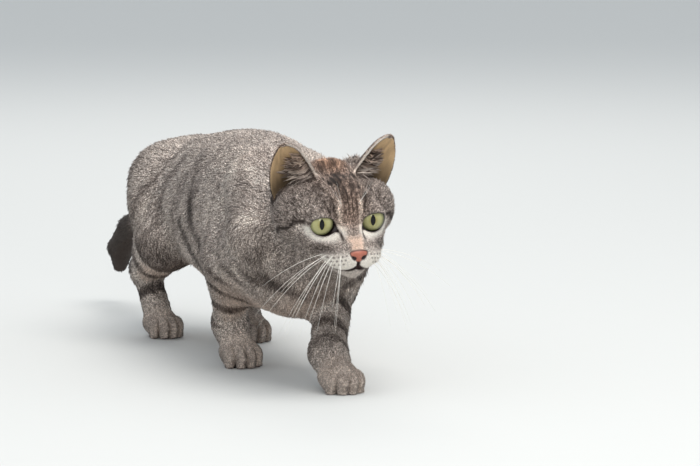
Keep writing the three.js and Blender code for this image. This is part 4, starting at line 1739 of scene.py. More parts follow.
@dataclass(frozen=True)
class Lie:
    """Which way the coat lies, and how long, wide and raised its tufts are."""

    ruffle: Noise = field(default_factory=lambda: Noise(21))
    fleck: Noise = field(default_factory=lambda: Noise(22))
    fleck_size: float = 1.3
    fleck_depth: float = 0.20
    layer_counts: Triple = (2.35, 2.65, 3.7)
    turn: float = 0.20

    def heading(self, p: Points, n: Points) -> Points:
        """The direction that the hair points in, along the skin.

        Args:
            p: Places in the cat's frame.
            n: The outward normals there.

        Returns:
            A direction of length one for each place.
        """
        q = HEAD.inward(p)
        m = mirrored(q)
        total = np.zeros_like(p)
        side = np.sign(p[:, 0])[:, None]
        trunk = np.column_stack([0.05 * side[:, 0], np.ones(len(p)),
                                 -0.45 * ramp(np.abs(p[:, 0]), 12, 46)])
        total += trunk * 0.6 * ramp(p[:, 2], 40, 80)[:, None]
        for limb in CAT.limbs.values():
            gap, _, along = follow(p, limb.joints)
            total += along * (1.6 * ramp(gap, 44, 18) * ramp(p[:, 2], 150, 96))[:, None]
        gap, _, along = follow(p, CAT.tail.line)
        total += along * (2.5 * ramp(gap, 34, 20))[:, None]
        chest = ramp(p[:, 1], -84, -112) * ramp(p[:, 2], 128, 96)
        total += np.array([0, 0.25, -1.0]) * (1.3 * chest)[:, None]
        # on the head it parts from the nose, and turns away from the eyes
        away = unit(q - np.array([0, 34, -15]))
        centre = np.array([CAT.eye.spread, 6, 0])
        beyond = m - centre
        beyond[:, 0] *= np.sign(q[:, 0])
        close = ramp(np.linalg.norm(m - centre, axis=1), 22, 11)
        away = away + unit(beyond) * (0.9 * close)[:, None]
        down = ramp(q[:, 2], -16, -30) * ramp(q[:, 1], 26, 6)
        away[:, 2] -= 0.5 * down
        head_share = ramp(q[:, 1], -70, -50) * ramp(q[:, 2], -62, -48)
        total = total * (1 - head_share)[:, None] + HEAD.turned(away) * head_share[:, None]
        _, up, behind, outside = CAT.ear.parts(m)
        ear_share = ramp(up, -4, 4) * ramp(np.abs(behind), 7, 3) * ramp(outside, 3, 1) * (m[:, 2] > 8)
        rise = CAT.ear.axes[1] + 0.25 * CAT.ear.axes[0]
        rise = np.column_stack([rise[0] * np.sign(q[:, 0]), np.full(len(q), rise[1]),
                                np.full(len(q), rise[2])])
        total = total * (1 - ear_share)[:, None] + HEAD.turned(rise) * ear_share[:, None]
        swirl = np.column_stack([self.ruffle.at(p + 40 * i, 11) - 0.5 for i in range(3)])
        total = unit(total) + swirl * 0.5
        return unit(total - n * (total * n).sum(1)[:, None])

    def length(self, p: Points, q: Points) -> Values:
        """The length of the hair that shows.

        Args:
            p: Places in the cat's frame.
            q: The same places on the head.

        Returns:
            The length at each place.
        """
        from_nose = np.linalg.norm(q - np.array([0, 27.5, -22]), axis=1)
        head = np.interp(from_nose, (6, 16, 30, 44, 62, 84, 110), (1.4, 1.9, 2.8, 3.7, 5, 7, 8.8))
        leg = np.interp(p[:, 2], (0, 12, 30, 60, 96), (2.4, 3.0, 4.6, 6.4, 9.0))
        tail = np.interp(p[:, 1], (200, 240, 385), (9.0, 8.0, 7.5))
        length = np.minimum(np.minimum(head, leg), tail)
        m = mirrored(q)
        _, up, behind, outside = CAT.ear.parts(m)
        cup = (up > -9) & (behind > -22) & (behind < 4.5) & (outside < 2) & (m[:, 2] > 10)
        length = np.where(cup, np.minimum(length, 2.8), length)
        rim = cup & (up > 0) & (np.abs(outside) < 1.8)
        return np.where(rim, np.minimum(length, 1.9), length)

    def layers(self, length: Values) -> Values:
        """How many tufts lie over each other."""
        return np.interp(length, (2, 4, 12), self.layer_counts)

    def width(self, length: Values) -> Values:
        """The width of a tuft of the given length."""
        return np.interp(length, (1.5, 3, 6, 12), (0.28, 0.37, 0.56, 0.84))

    def lift(self, length: Values, p: Points, n: Points) -> Values:
        """How steeply tufts rise from the skin, in radians."""
        chest = ramp(p[:, 1], -92, -112) * ramp(p[:, 2], 116, 92) * ramp(n[:, 1], 0.1, -0.5)
        return np.radians(np.interp(length, (2, 5, 12), (15, 15, 11)) + 10 * chest)


LIE = Lie()


@dataclass
class Tufts:
    """A set of tufts, each a thin closed leaf of four corners."""

    roots: Points
    normals: Points
    headings: Points
    lengths: Values
    widths: Values
    lifts: Values
    shades: Points
    warmth: Values
    ticking: Values
    bend: float = 0.10
    sink: float = 0.5
    clear: float = 0.3

    widest = 0.42
    corners = np.array([[0, 1, 2], [3, 2, 1], [0, 3, 1], [0, 2, 3]])

    def part(self, chosen: np.ndarray) -> "Tufts":
        """The chosen tufts alone."""
        each = ("roots", "normals", "headings", "lengths", "widths", "lifts", "shades",
                "warmth", "ticking")
        return replace(self, **{name: getattr(self, name)[chosen] for name in each})

    def places(self) -> Points:
        """The corners of each tuft: root, two sides and tip.

        Returns:
            Four corners for each tuft.
        """
        n, f = self.normals, self.headings
        side = np.cross(n, f)
        reach = (self.lengths * np.cos(self.lifts))[:, None]
        rise = (self.lengths * np.sin(self.lifts))[:, None]
        middle = (self.roots + f * reach * self.widest
                  + n * (rise * self.widest + reach * self.bend * 0.6))
        half = side * (self.widths / 2)[:, None]
        root = self.roots - n * self.sink
        tip = self.roots + f * reach + n * (rise - reach * self.bend * 0.3)
        places = np.stack([root, middle - half, middle + half, tip], 1)
        lowest = self.clear * np.array([1.0, 1.1, 1.2, 1.3])
        places[..., 2] = np.maximum(places[..., 2], lowest)
        return places

    def shading(self) -> Points:
        """The normals that the tuft is shaded with, rounded across it."""
        n, f = self.normals, self.headings
        side = np.cross(n, f)
        rows = np.stack([n - f * 0.25, n - side * 0.35, n + side * 0.35, n + f * 0.25], 1)
        return unit(rows)

    def colours(self) -> Points:
        """The linear colours of the corners."""
        flat = TINTS.coat(np.clip(self.shades, 0, 1).ravel(), np.repeat(self.warmth, 3))
        flat = flat.reshape(-1, 3, 3)
        return np.stack([flat[:, 0], flat[:, 1], flat[:, 1], flat[:, 2]], 1)


class Coat:
    """The tufts all over the skin."""

    bare_limit = 0.35
    lining_limit = 0.4
    length_spread = 0.16
    width_spread = 0.2
    lift_spread = 0.28
    hair_width = 0.17
    hair_lift = 0.03

    def __init__(self, shell: Shell, normals: Points, thin: float) -> None:
        """Keeps the skin the coat grows on.

        Args:
            shell: The skin's mesh.
            normals: Its outward normals.
            thin: The share of tufts that are made, 1 for all.
        """
        self.shell, self.normals, self.thin = shell, normals, thin
        self.rng = np.random.default_rng(RNG_SEED)

    def scattered(self) -> tuple[Points, Points]:
        """Roots all over the skin, as close as their tufts' size asks, and normals there.

        Returns:
            The roots and the normals.
        """
        faces, points = self.shell.faces, self.shell.points
        middle = points[faces].mean(1)
        normal = unit(self.normals[faces].mean(1))
        length = LIE.length(middle, HEAD.inward(middle))
        density = LIE.layers(length) / (length * LIE.width(length) * 0.5)
        bare = bare_at(middle, normal)
        density = density * ((bare.lining < self.lining_limit) & (bare.any < 0.5))
        weight = np.cumsum(self.shell.areas() * density * self.thin)
        count = int(weight[-1])
        picks = (np.arange(count) + self.rng.random(count)) * weight[-1] / count
        chosen = np.minimum(np.searchsorted(weight, picks), len(faces) - 1)
        a, b = self.rng.random((2, count))
        over = a + b > 1
        a[over], b[over] = 1 - a[over], 1 - b[over]
        share = np.stack([1 - a - b, a, b], 1)[:, :, None]
        roots = (points[faces[chosen]] * share).sum(1)
        return roots, unit((self.normals[faces[chosen]] * share).sum(1))

    def tufts(self) -> Tufts:
        """The short and middling tufts of the whole coat.

        Returns:
            The tufts.
        """
        roots, normals = self.scattered()
        bare = bare_at(roots, normals)
        keep = bare.any < self.bare_limit
        roots, normals, lining = roots[keep], normals[keep], bare.lining[keep]
        count = len(roots)
        length = LIE.length(roots, HEAD.inward(roots))
        width, lift = LIE.width(length), LIE.lift(length, roots, normals)
        heading = LIE.heading(roots, normals)
        turn = LIE.turn * self.rng.standard_normal(count)
        side = np.cross(normals, heading)
        heading = unit(heading * np.cos(turn)[:, None] + side * np.sin(turn)[:, None])
        length *= self.varied(count, self.length_spread)
        width *= self.varied(count, self.width_spread)
        lift *= self.varied(count, self.lift_spread)
        reach = heading * length[:, None]
        marks = TABBY.at(roots + 0.6 * reach, normals)
        own = self.rng.standard_normal(count)
        banded = 0.55 * np.where(self.rng.random(count) < 0.65, 1, -1)
        flecks = [np.clip(3.2 * (LIE.fleck.at(roots + share * reach, LIE.fleck_size) - 0.5)
                          + 0.35 * own + band, -1, 1)
                  for share, band in ((0.45, banded), (0.95, -banded))]
        middle = ramp(marks.shade, 0.0, 0.3) * ramp(marks.shade, 1.12, 0.7)
        strength = LIE.fleck_depth * marks.ticking * (0.22 + 0.78 * middle)
        shades = np.stack([marks.shade * 0.72, marks.shade + strength * flecks[0],
                           marks.shade + strength * flecks[1]], 1)
        on_lining = lining > self.lining_limit
        shades[on_lining] = shades[on_lining] * 0.25 + 0.45
        warmth = np.clip(marks.warmth + 0.6 * on_lining + 0.04 * own, 0, 1)
        tufts = Tufts(roots, normals, heading, length, width, np.clip(lift, 0.05, 0.9), shades,
                      warmth, np.clip(marks.ticking, 0, 1) * middle)
        return tufts.part(self.clear_of_lines(roots + 0.95 * reach))

    def varied(self, count: int, spread: float) -> Values:
        """Random factors round 1, never more than twice the spread away from it."""
        return 1 + spread * np.clip(self.rng.standard_normal(count), -2, 2)

    def clear_of_lines(self, tips: Points) -> np.ndarray:
        """Which tufts, by their tips, leave the eyes, the nose and the mouth's line clear.

        Args:
            tips: The tufts' tips in the cat's frame.

        Returns:
            Which tufts stay.
        """
        m = mirrored(HEAD.inward(tips))
        face = m[:, 1] > -14
        clear = np.ones(len(tips), bool)
        near_lines = m[face]
        clear[face] = ((CAT.eye.edge(near_lines) > 0.5) & (CAT.nose.edge(near_lines) > 0.2)
                       & (CAT.mouth.edge(near_lines) > 0.75))
        return clear

    def ear_hairs(self, count: int = 460) -> Tufts:
        """The long pale hairs that grow across each ear's mouth from its inner edge.

        Args:
            count: Half the number of hairs.

        Returns:
            The hairs.
        """
        points, n = self.shell.points, self.normals
        bare = bare_at(points, n)
        q = HEAD.inward(points)
        across, up, _, _ = CAT.ear.parts(mirrored(q))
        usable = np.flatnonzero((bare.lining > 0.5) & (across < -0.25) & (up > -4) & (up < 24))
        weight = ramp(across[usable], -0.2, -0.85) * ramp(up[usable], 26, 4) + 0.01
        order = self.rng.choice(usable, 2 * count, p=weight / weight.sum())
        jitter = self.rng.standard_normal((len(order), 3))
        roots, normals = points[order] + 0.5 * jitter, n[order]
        side = np.sign(q[order, 0])
        a, b, c = CAT.ear.axes
        way = (1.0 + 0.25 * jitter[:, :1]) * a + (0.75 + 0.35 * jitter[:, 1:2]) * b - 0.42 * c
        way[:, 0] *= side
        way = unit(HEAD.turned(way))
        height = up[order]
        length = np.interp(height, (-4, 8, 24), (14, 14, 7)) * (1 + 0.25 * np.clip(jitter[:, 2], -2, 2))
        normal = unit(np.cross(way, np.cross(normals, way)))
        pick = self.rng.random(len(order))
        shade = np.interp(pick, (0, 0.35, 0.6, 1), (0.22, 0.42, 0.66, 0.9))
        shades = np.stack([shade * 0.6, shade, shade], 1)
        warmth = np.interp(height, (0, 20), (0.2, 0.6))
        return Tufts(roots, normal, way, length, np.full(len(order), self.hair_width),
                     np.full(len(order), self.hair_lift), shades, warmth, np.zeros(len(order)),
                     bend=0.22, sink=0.3)


# ------------------------------------------------------------------ eyes and whiskers


@dataclass(frozen=True)
class EyeBall:
    """One eye: a ball with the clear front's dome."""

    rings: int = 72
    spokes: int = 96

    def mesh(self, side: Side) -> tuple[Points, np.ndarray, Points]:
        """Makes the ball.

        Args:
            side: Which eye.

        Returns:
            The vertices in the cat's frame, the faces, and each vertex's place on the eye
            as right, up and forward over the ball's radius.
        """
        polar = np.linspace(0, math.pi, self.rings + 1)[1:-1]
        turn = np.arange(self.spokes) * 2 * math.pi / self.spokes
        grid = np.stack(np.meshgrid(polar, turn, indexing="ij"), -1).reshape(-1, 2)
        local = np.column_stack([np.sin(grid[:, 0]) * np.cos(grid[:, 1]),
                                 np.sin(grid[:, 0]) * np.sin(grid[:, 1]), np.cos(grid[:, 0])])
        local = np.vstack([local, [[0, 0, 1], [0, 0, -1]]])
        # the front is a flatter dome, which runs out over the ball and then back to it
        facing, back = local[:, 2], CAT.eye.dome - CAT.eye.radius
        front = np.sqrt(CAT.eye.dome ** 2 + back * back * (facing * facing - 1)) - back * facing
        radius = CAT.eye.radius + (front - CAT.eye.radius) * ramp(facing, 0.1, 0.4)
        yaw = math.radians(-CAT.eye.gaze)
        ahead = np.array([math.sin(yaw), math.cos(yaw), 0])
        across = np.array([math.cos(yaw), -math.sin(yaw), 0])
        axes = np.array([across, [0, 0, 1], ahead])
        centre = np.array([CAT.eye.spread * side.value, 0, 0])
        points = HEAD.outward(local @ axes * radius[:, None] + centre)
        count = (self.rings - 1) * self.spokes
        faces = tube_faces(self.rings - 1, self.spokes, count, count + 1)[:, ::-1]
        return points, faces, local

    def build(self, maker: Maker) -> None:
        """Makes both eyes, each in place of its node."""
        material = EyeFinish().make()
        for side in Side:
            points, faces, local = self.mesh(side)
            obj = maker.piece(f"eyeball_{side.word}", points, faces, material, "eye")
            maker.hold(obj, "gaze", Held.VECTOR, local)
            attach(obj, "root")
            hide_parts(f"eye_{side.word}")
            LOG.info("eye %s: %d triangles", side.word, len(faces))


@dataclass(frozen=True)
class Whiskers:
    """The whiskers of the muzzle and the brow, as thin tapered rods."""

    thick: float = 0.19
    thin: float = 0.05
    steps: int = 16
    sides: int = 6
    rows: tuple[tuple[float, float, int], ...] = (
        (-22.0, 0.35, 4), (-25.4, 0.5, 5), (-28.8, 0.6, 5),
    )
    on_brow: int = 3
    brow_height: float = 12.5
    brow_share: float = 0.55

    def curves(self) -> list[tuple[Points, float]]:
        """The line of each whisker on the head's left side or right, and its thickness.

        Returns:
            A pair of each whisker's points and its share of the full thickness.
        """
        rng = np.random.default_rng(RNG_SEED + 1)
        curves = []
        for side in Side:
            for row, (up, droop, count) in enumerate(self.rows):
                for column in range(count):
                    turn = math.radians(24 + 19 * column)
                    length = (46 + 4.5 * column - 5 * row) * rng.uniform(0.85, 1.15)
                    sink = 0.45 + 0.42 * row - 0.12 * column + rng.uniform(-0.12, 0.12)
                    start = unit(np.array([math.sin(turn), 0.8 * math.cos(turn), -max(sink, 0.1)]))
                    height = up - 0.5 * column
                    curves.append((self.bent((turn, height), start, length, droop, side), 1.0))
            for k in range(self.on_brow):
                start = unit(np.array([0.35 + 0.2 * k, 0.45, 1.0]))
                root = (math.radians(28 + 9 * k), self.brow_height + 1.2 * k)
                line = self.bent(root, start, 24 - 2 * k, -0.1, side)
                curves.append((line, self.brow_share))
        return curves

    def bent(self, root: Pair, start: Points, length: float, droop: float,
             side: Side) -> Points:
        """A whisker that leaves the face in one direction and droops.

        Args:
            root: How far round the muzzle it grows, and how high.
            start: The direction it leaves in.
            length: Its length.
            droop: How much it bends down along its length.
            side: Which side of the head.

        Returns:
            Points along it, in the cat's frame.
        """
        base = self.settled(root, side)
        t = np.linspace(0, 1, self.steps)[:, None]
        heading = start * np.array([side.value, 1, 1])
        line = base + length * (heading * t - np.array([0, 0.15, droop]) * t ** 2 * 0.9)
        return HEAD.outward(line)

    def settled(self, root: Pair, side: Side) -> Points:
        """The place on the skin at a turn round the muzzle and a height, on the head.

        Args:
            root: The turn round the muzzle and the height.
            side: Which side of the head.

        Returns:
            The place on the head.
        """
        turn, height = root
        reach = np.arange(34, 0, -0.25)[:, None]
        way = np.array([math.sin(turn) * side.value, math.cos(turn), 0])
        line = np.array([6.0 * side.value, 7.5, height]) + reach * way
        depth = CAT.skin(HEAD.outward(line))
        return line[int(np.argmax(depth < -0.6))]

    def mesh(self) -> tuple[Points, np.ndarray, Points]:
        """Makes them all.

        Returns:
            The vertices, the faces and each vertex's place on the baking map.
        """
        points, faces, places, start = [], [], [], 0
        curves = self.curves()
        for index, (line, scale) in enumerate(curves):
            heading = unit(np.gradient(line, axis=0))
            across = unit(np.cross(heading, [0.1, 0.2, 1.0]))
            over = np.cross(heading, across)
            radius = scale * np.linspace(self.thick, self.thin, len(line))
            turn = np.arange(self.sides) * 2 * math.pi / self.sides
            ring = (across[:, None] * np.cos(turn)[None, :, None]
                    + over[:, None] * np.sin(turn)[None, :, None]) * radius[:, None, None]
            points.append((line[:, None] + ring).reshape(-1, 3))
            points.append(line[[0, -1]])
            count = len(line) * self.sides
            faces.append(start + tube_faces(len(line), self.sides, count, count + 1))
            place = np.array([(index + 0.5) / len(curves), 0.5])
            places.append(np.repeat(place[None], count + 2, axis=0))
            start += count + 2
        return np.vstack(points), np.vstack(faces), np.vstack(places)

    def build(self, maker: Maker) -> None:
        """Makes the whiskers as one piece."""
        points, faces, places = self.mesh()
        obj = maker.piece("whiskers", points, faces, WhiskerFinish().make(), "coat")
        maker.map(obj, places)
        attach(obj, "root")
        LOG.info("whiskers: %d triangles", len(faces))


# ------------------------------------------------------------------ materials


class Wire:
    """The output of a shader node, with shader maths written as operators."""

    def __init__(self, finish: "Finish", socket: bpy.types.NodeSocket) -> None:
        """Keeps the socket and the material it belongs to."""
        self.finish, self.socket = finish, socket

    def _math(self, operation: str, *values: "Wire | float") -> "Wire":
        """A Math node's result on the given values."""
        return self.finish.node("ShaderNodeMath", {"operation": operation},
                                dict(enumerate(values)))

    def __add__(self, other: "Wire | float") -> "Wire":
        """The sum."""
        return self._math("ADD", self, other)

    __radd__ = __add__

    def __mul__(self, other: "Wire | float") -> "Wire":
        """The product."""
        return self._math("MULTIPLY", self, other)

    __rmul__ = __mul__

    def __sub__(self, other: "Wire | float") -> "Wire":
        """The difference."""
        return self._math("SUBTRACT", self, other)

    def __rsub__(self, other: float) -> "Wire":
        """The difference from a number."""
        return self._math("SUBTRACT", other, self)

    def __truediv__(self, other: "Wire | float") -> "Wire":
        """The quotient."""
        return self._math("DIVIDE", self, other)

    def __rtruediv__(self, other: float) -> "Wire":
        """The quotient of a number."""
        return self._math("DIVIDE", other, self)

    def __pow__(self, other: "Wire | float") -> "Wire":
        """The power."""
        return self._math("POWER", self, other)

    def __rpow__(self, other: float) -> "Wire":
        """The power of a number."""
        return self._math("POWER", other, self)

    def __abs__(self) -> "Wire":
        """The value without its sign."""
        return self._math("ABSOLUTE", self)

    def step(self, low: float, high: float) -> "Wire":
        """A smooth step from 0 at low to 1 at high."""
        return self.finish.node("ShaderNodeMapRange", {"interpolation_type": "SMOOTHSTEP"},
                                {"Value": self, "From Min": low, "From Max": high})


@dataclass(frozen=True)
class Flecks:
    """The fine pepper and salt of the ticked coat, as factors on its colour."""

    scale: float = 860.0
    low: float = 0.43
    high: float = 0.62
    dark: Triple = (0.48, 0.47, 0.46)
    pale: Triple = (1.50, 1.50, 1.50)


FLECKS = Flecks()


class Finish:
    """A material, made node by node."""

    # the Mix node's sockets for colours
    amount_in, first_in, second_in, colour_out = 0, 6, 7, 2

    def __init__(self, name: str) -> None:
        """Makes an empty material with its shader.

        Args:
            name: The material's name.
        """
        self.material = bpy.data.materials.new(name)
        self.material.use_nodes = True
        self.tree = self.material.node_tree
        self.tree.nodes.clear()
        self.shader = self.tree.nodes.new("ShaderNodeBsdfPrincipled")
        output = self.tree.nodes.new("ShaderNodeOutputMaterial")
        self.tree.links.new(self.shader.outputs[0], output.inputs["Surface"])

    def node(self, kind: str, settings: dict[str, object], inputs: dict[str | int, object],
             out: str | int = 0) -> Wire:
        """Adds a node.

        Args:
            kind: The node's type.
            settings: Its properties, or a ramp's stops, which are set first.
            inputs: The value or the wire of each of its sockets.
            out: Which output is wanted.

        Returns:
            That output.
        """
        made = self.tree.nodes.new(kind)
        for name, value in settings.items():
            if name == "stops":
                stops = made.color_ramp.elements
                for index, (place, colour) in enumerate(value):
                    element = stops[index] if index < 2 else stops.new(place)
                    element.position, element.color = place, (*colour, 1)
            else:
                setattr(made, name, value)
        for name, value in inputs.items():
            self.put(made.inputs[name], value)
        return Wire(self, made.outputs[out])

    def put(self, socket: bpy.types.NodeSocket, value: object) -> None:
        """Sets a socket to a value, or links a wire to it."""
        if isinstance(value, Wire):
            self.tree.links.new(value.socket, socket)
        else:
            socket.default_value = value

    def dress(self, **values: object) -> bpy.types.Material:
        """Sets the shader's sockets, named with underscores for spaces, and hands it over."""
        for name, value in values.items():
            self.put(self.shader.inputs[name.replace("_", " ")], value)
        return self.material

    def attribute(self, name: str, out: str) -> Wire:
        """Reads what a mesh holds under a name."""
        return self.node("ShaderNodeAttribute", {"attribute_name": name}, {}, out)

    def noise(self, scale: float, detail: float = 3.0, at: Wire | None = None) -> Wire:
        """Noise in the object's own space, from 0 to 1."""
        place = at or self.node("ShaderNodeTexCoord", {}, {}, "Object")
        return self.node("ShaderNodeTexNoise", {}, {"Vector": place, "Scale": scale,
                                                    "Detail": detail})

    def mixed(self, amount: Wire | float, first: object, second: object,
              how: str = "MIX") -> Wire:
        """Two colours mixed by an amount, in the given way."""
        return self.node("ShaderNodeMix", {"data_type": "RGBA", "blend_type": how},
                         {self.amount_in: amount, self.first_in: first, self.second_in: second},
                         self.colour_out)

    def ticked(self, hue: Wire) -> Wire:
        """A coat's colour broken up by fine dark and pale flecks, as strong as its ticking."""
        salt = self.noise(FLECKS.scale, 1.5).step(FLECKS.low, FLECKS.high)
        speck = self.mixed(salt, (*FLECKS.dark, 1), (*FLECKS.pale, 1))
        return self.mixed(self.attribute("ticking", "Fac"), hue, speck, "MULTIPLY")

    def bump(self, height: Wire, distance: float, strength: float) -> Wire:
        """A normal raised by a height."""
        return self.node("ShaderNodeBump", {}, {"Height": height, "Distance": distance,
                                                "Strength": strength})


@dataclass(frozen=True)
class FurFinish:
    """Hair: dull, with a slight sheen along it."""

    roughness: float = 0.62
    rough_spread: float = 0.12
    specular: float = 0.28
    grain: float = 900.0
    bump_height: float = 0.0002
    bump_strength: float = 0.4

    def make(self) -> bpy.types.Material:
        """The coat's material, coloured by what each tuft holds."""
        finish = Finish("tabby_fur")
        hue = finish.ticked(finish.attribute("coat", "Color"))
        fine = finish.noise(self.grain, 2.0)
        return finish.dress(Base_Color=hue, Roughness=self.roughness + fine * self.rough_spread,
                            Specular_IOR_Level=self.specular,
                            Normal=finish.bump(fine, self.bump_height, self.bump_strength))


@dataclass(frozen=True)
class SkinFinish:
    """The skin under the coat, and the leather of the nose and the pads."""

    dry: float = 0.78
    moist: float = 0.30
    specular: float = 0.4
    hair_grain: float = 1100.0
    leather_grain: float = 1700.0
    shadow: Triple = (0.012, 0.01, 0.01)
    pebble: Triple = (0.10, 0.04, 0.035)
    bump_height: float = 0.00035
    bump_strength: float = 0.7

    def make(self) -> bpy.types.Material:
        """The skin's material: fine short hair, or pebbled leather where it is bare."""
        finish = Finish("tabby_skin")
        hue = finish.ticked(finish.attribute("coat", "Color"))
        bare = finish.attribute("bare", "Fac")
        place = finish.node("ShaderNodeTexCoord", {}, {}, "Object")
        hair = finish.noise(self.hair_grain, 4.0, place)
        pebbles = finish.node("ShaderNodeTexVoronoi", {}, {"Vector": place,
                                                           "Scale": self.leather_grain}, "Distance")
        ticking = finish.attribute("ticking", "Fac")
        between = hair.step(0.3, 0.75) * (1 - bare) * (0.12 + ticking * 0.43)
        dark = finish.mixed(between, hue, (*self.shadow, 1))
        speck = finish.mixed(pebbles.step(0.2, 0.9) * bare * 0.25, dark, (*self.pebble, 1))
        height = hair * (1 - bare) + pebbles * bare * -0.6
        rough = self.dry + bare * (self.moist - self.dry)
        return finish.dress(Base_Color=speck, Roughness=rough, Specular_IOR_Level=self.specular,
                            Normal=finish.bump(height, self.bump_height, self.bump_strength))


@dataclass(frozen=True)
class EyeFinish:
    """The eye: a yellow-green iris with a slit, behind a wet clear front."""

    iris: float = 0.91
    slit_half: float = 0.20
    slit_tall: float = 0.45
    inner: Triple = (146, 138, 84)
    pale: Triple = (166, 163, 116)
    outer: Triple = (108, 109, 76)
    ring: Triple = (20, 19, 15)
    pupil: Triple = (5, 6, 9)

    def make(self) -> bpy.types.Material:
        """The eye's material, from each vertex's place on the ball."""
        finish = Finish("cat_eye")
        place = finish.attribute("gaze", "Vector")
        x, y = (finish.node("ShaderNodeSeparateXYZ", {}, {0: place}, out) for out in (0, 1))
        radius = (x * x + y * y) ** 0.5
        share = radius / self.iris
        angle = finish.node("ShaderNodeMath", {"operation": "ARCTAN2"}, {0: y, 1: x})
        spokes = finish.node("ShaderNodeCombineXYZ", {}, {0: angle * 9.0, 1: share * 1.6, 2: 0.0})
        fibre = finish.noise(2.6, 5.0, spokes)
        hue = finish.node("ShaderNodeValToRGB", {"stops": [
            (0.25, tuple(daylight(*self.inner))), (0.48, tuple(daylight(*self.pale))),
            (0.72, tuple(daylight(*self.pale))), (0.88, tuple(daylight(*self.outer))),
            (0.97, tuple(daylight(*self.ring)))]}, {"Fac": share + (fibre - 0.5) * 0.12}, "Color")
        dim = tuple(daylight(*self.outer))
        streaked = finish.mixed(fibre.step(0.40, 0.75) * 0.35, hue, (*dim, 1))
        # painted shadow of the upper lid across the top of the iris
        lid_shadowed = finish.mixed(y.step(0.15, 0.60) * 0.6, streaked, (*(part * 0.3 for part in dim), 1))
        edge = (abs(x) / self.slit_half) ** 1.4 + (y / self.slit_tall) ** 2
        dark = finish.mixed(edge.step(1.10, 0.94), lid_shadowed, (*daylight(*self.pupil), 1))
        whole = finish.mixed(radius.step(self.iris - 0.02, self.iris + 0.02), dark,
                             (*daylight(*self.ring), 1))
        return finish.dress(Base_Color=whole, Roughness=0.3, Specular_IOR_Level=0.0,
                            Coat_Weight=0.85, Coat_Roughness=0.015, Coat_IOR=1.38)


@dataclass(frozen=True)
class WhiskerFinish:
    """A whisker: smooth, stiff and nearly white."""

    tint: Triple = (238, 234, 226)

    def make(self) -> bpy.types.Material:
        """The whiskers' material."""
        finish = Finish("whisker")
        fine = finish.noise(300.0, 2.0)
        hue = finish.mixed(fine * 0.15, (*daylight(*self.tint), 1), (0.5, 0.45, 0.4, 1))
        return finish.dress(Base_Color=hue, Roughness=0.34 + fine * 0.1, Specular_IOR_Level=0.5)


@dataclass(frozen=True)
class FloorFinish:
    """The studio's floor: matt pale card."""

    tint: Triple = (203, 204, 202)

    def make(self) -> bpy.types.Material:
        """The floor's material."""
        finish = Finish("studio_card")
        fine = finish.noise(40.0, 3.0)
        hue = finish.mixed(fine * 0.05, (*daylight(*self.tint), 1), (0.5, 0.5, 0.5, 1))
        return finish.dress(Base_Color=hue, Roughness=0.85, Specular_IOR_Level=0.2)


# ------------------------------------------------------------------ pieces


class Held(Enum):
    """What a mesh can hold for each vertex: the layer's type and the name of its values."""

    COLOUR = ("FLOAT_COLOR", "color")
    VECTOR = ("FLOAT_VECTOR", "vector")
    NUMBER = ("FLOAT", "value")


class Maker:
    """Turns arrays in the cat's frame into pieces that ride the part's body."""

    def piece(self, name: str, points: Points, faces: np.ndarray, material: bpy.types.Material,
              slot: str) -> bpy.types.Object:
        """Makes one piece.

        Args:
            name: The piece's name.
            points: Its vertices, in millimetres in the cat's frame.
            faces: Its triangles.
            material: Its material.
            slot: The slot its finish comes from.

        Returns:
            The piece, with no body yet.
        """
        mesh = bpy.data.meshes.new(name)
        place = ((points + OFFSET) * MILLIMETRE).astype(np.float32)
        count = len(faces)
        mesh.vertices.add(len(place))
        mesh.vertices.foreach_set("co", place.ravel())
        mesh.loops.add(3 * count)
        mesh.loops.foreach_set("vertex_index", faces.ravel().astype(np.int32))
        mesh.polygons.add(count)
        mesh.polygons.foreach_set("loop_start", np.arange(0, 3 * count, 3, dtype=np.int32))
        mesh.polygons.foreach_set("use_smooth", np.ones(count, bool))
        mesh.update(calc_edges=True)
        mesh.materials.append(material)
        obj = bpy.data.objects.new(name, mesh)
        bpy.context.scene.collection.objects.link(obj)
        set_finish(obj, slot)
        return obj

    def hold(self, obj: bpy.types.Object, name: str, kind: Held, values: Points) -> None:
        """Stores a value for each vertex.

        Args:
            obj: The piece.
            name: The name they are stored under.
            kind: What the values are.
            values: The values, a row for each vertex.
        """
        layer_type, field_name = kind.value
        layer = obj.data.attributes.new(name, layer_type, "POINT")
        if kind is Held.COLOUR:
            values = np.column_stack([values, np.ones(len(values))])
        layer.data.foreach_set(field_name, np.ascontiguousarray(values, np.float32).ravel())

    def map(self, obj: bpy.types.Object, places: Points) -> None:
        """Stores the baking map, from a place for each vertex.

        Args:
            obj: The piece.
            places: The place of each vertex on the map.
        """
        corner = np.empty(len(obj.data.loops), np.int32)
        obj.data.loops.foreach_get("vertex_index", corner)
        layer = obj.data.uv_layers.new(name="OFBake")
        layer.data.foreach_set("uv", places[corner].astype(np.float32).ravel())


def unwrapped(points: Points, axis: int) -> Points:
    """Places on an unwrap of a rounded form: round an axis, and along it.

    Args:
        points: The places.
        axis: Which axis the unwrap goes round.

    Returns:
        Places on the map, from 0 to 1.
    """
    middle = (points.min(0) + points.max(0)) / 2
    rel = points - middle
    u, v = (axis + 1) % 3, (axis + 2) % 3
    turn = np.arctan2(rel[:, u], rel[:, v]) / (2 * math.pi) + 0.5
    low, high = points[:, axis].min(), points[:, axis].max()
    return np.column_stack([0.01 + 0.98 * turn,
                            0.01 + 0.98 * (points[:, axis] - low) / max(high - low, 1e-6)])


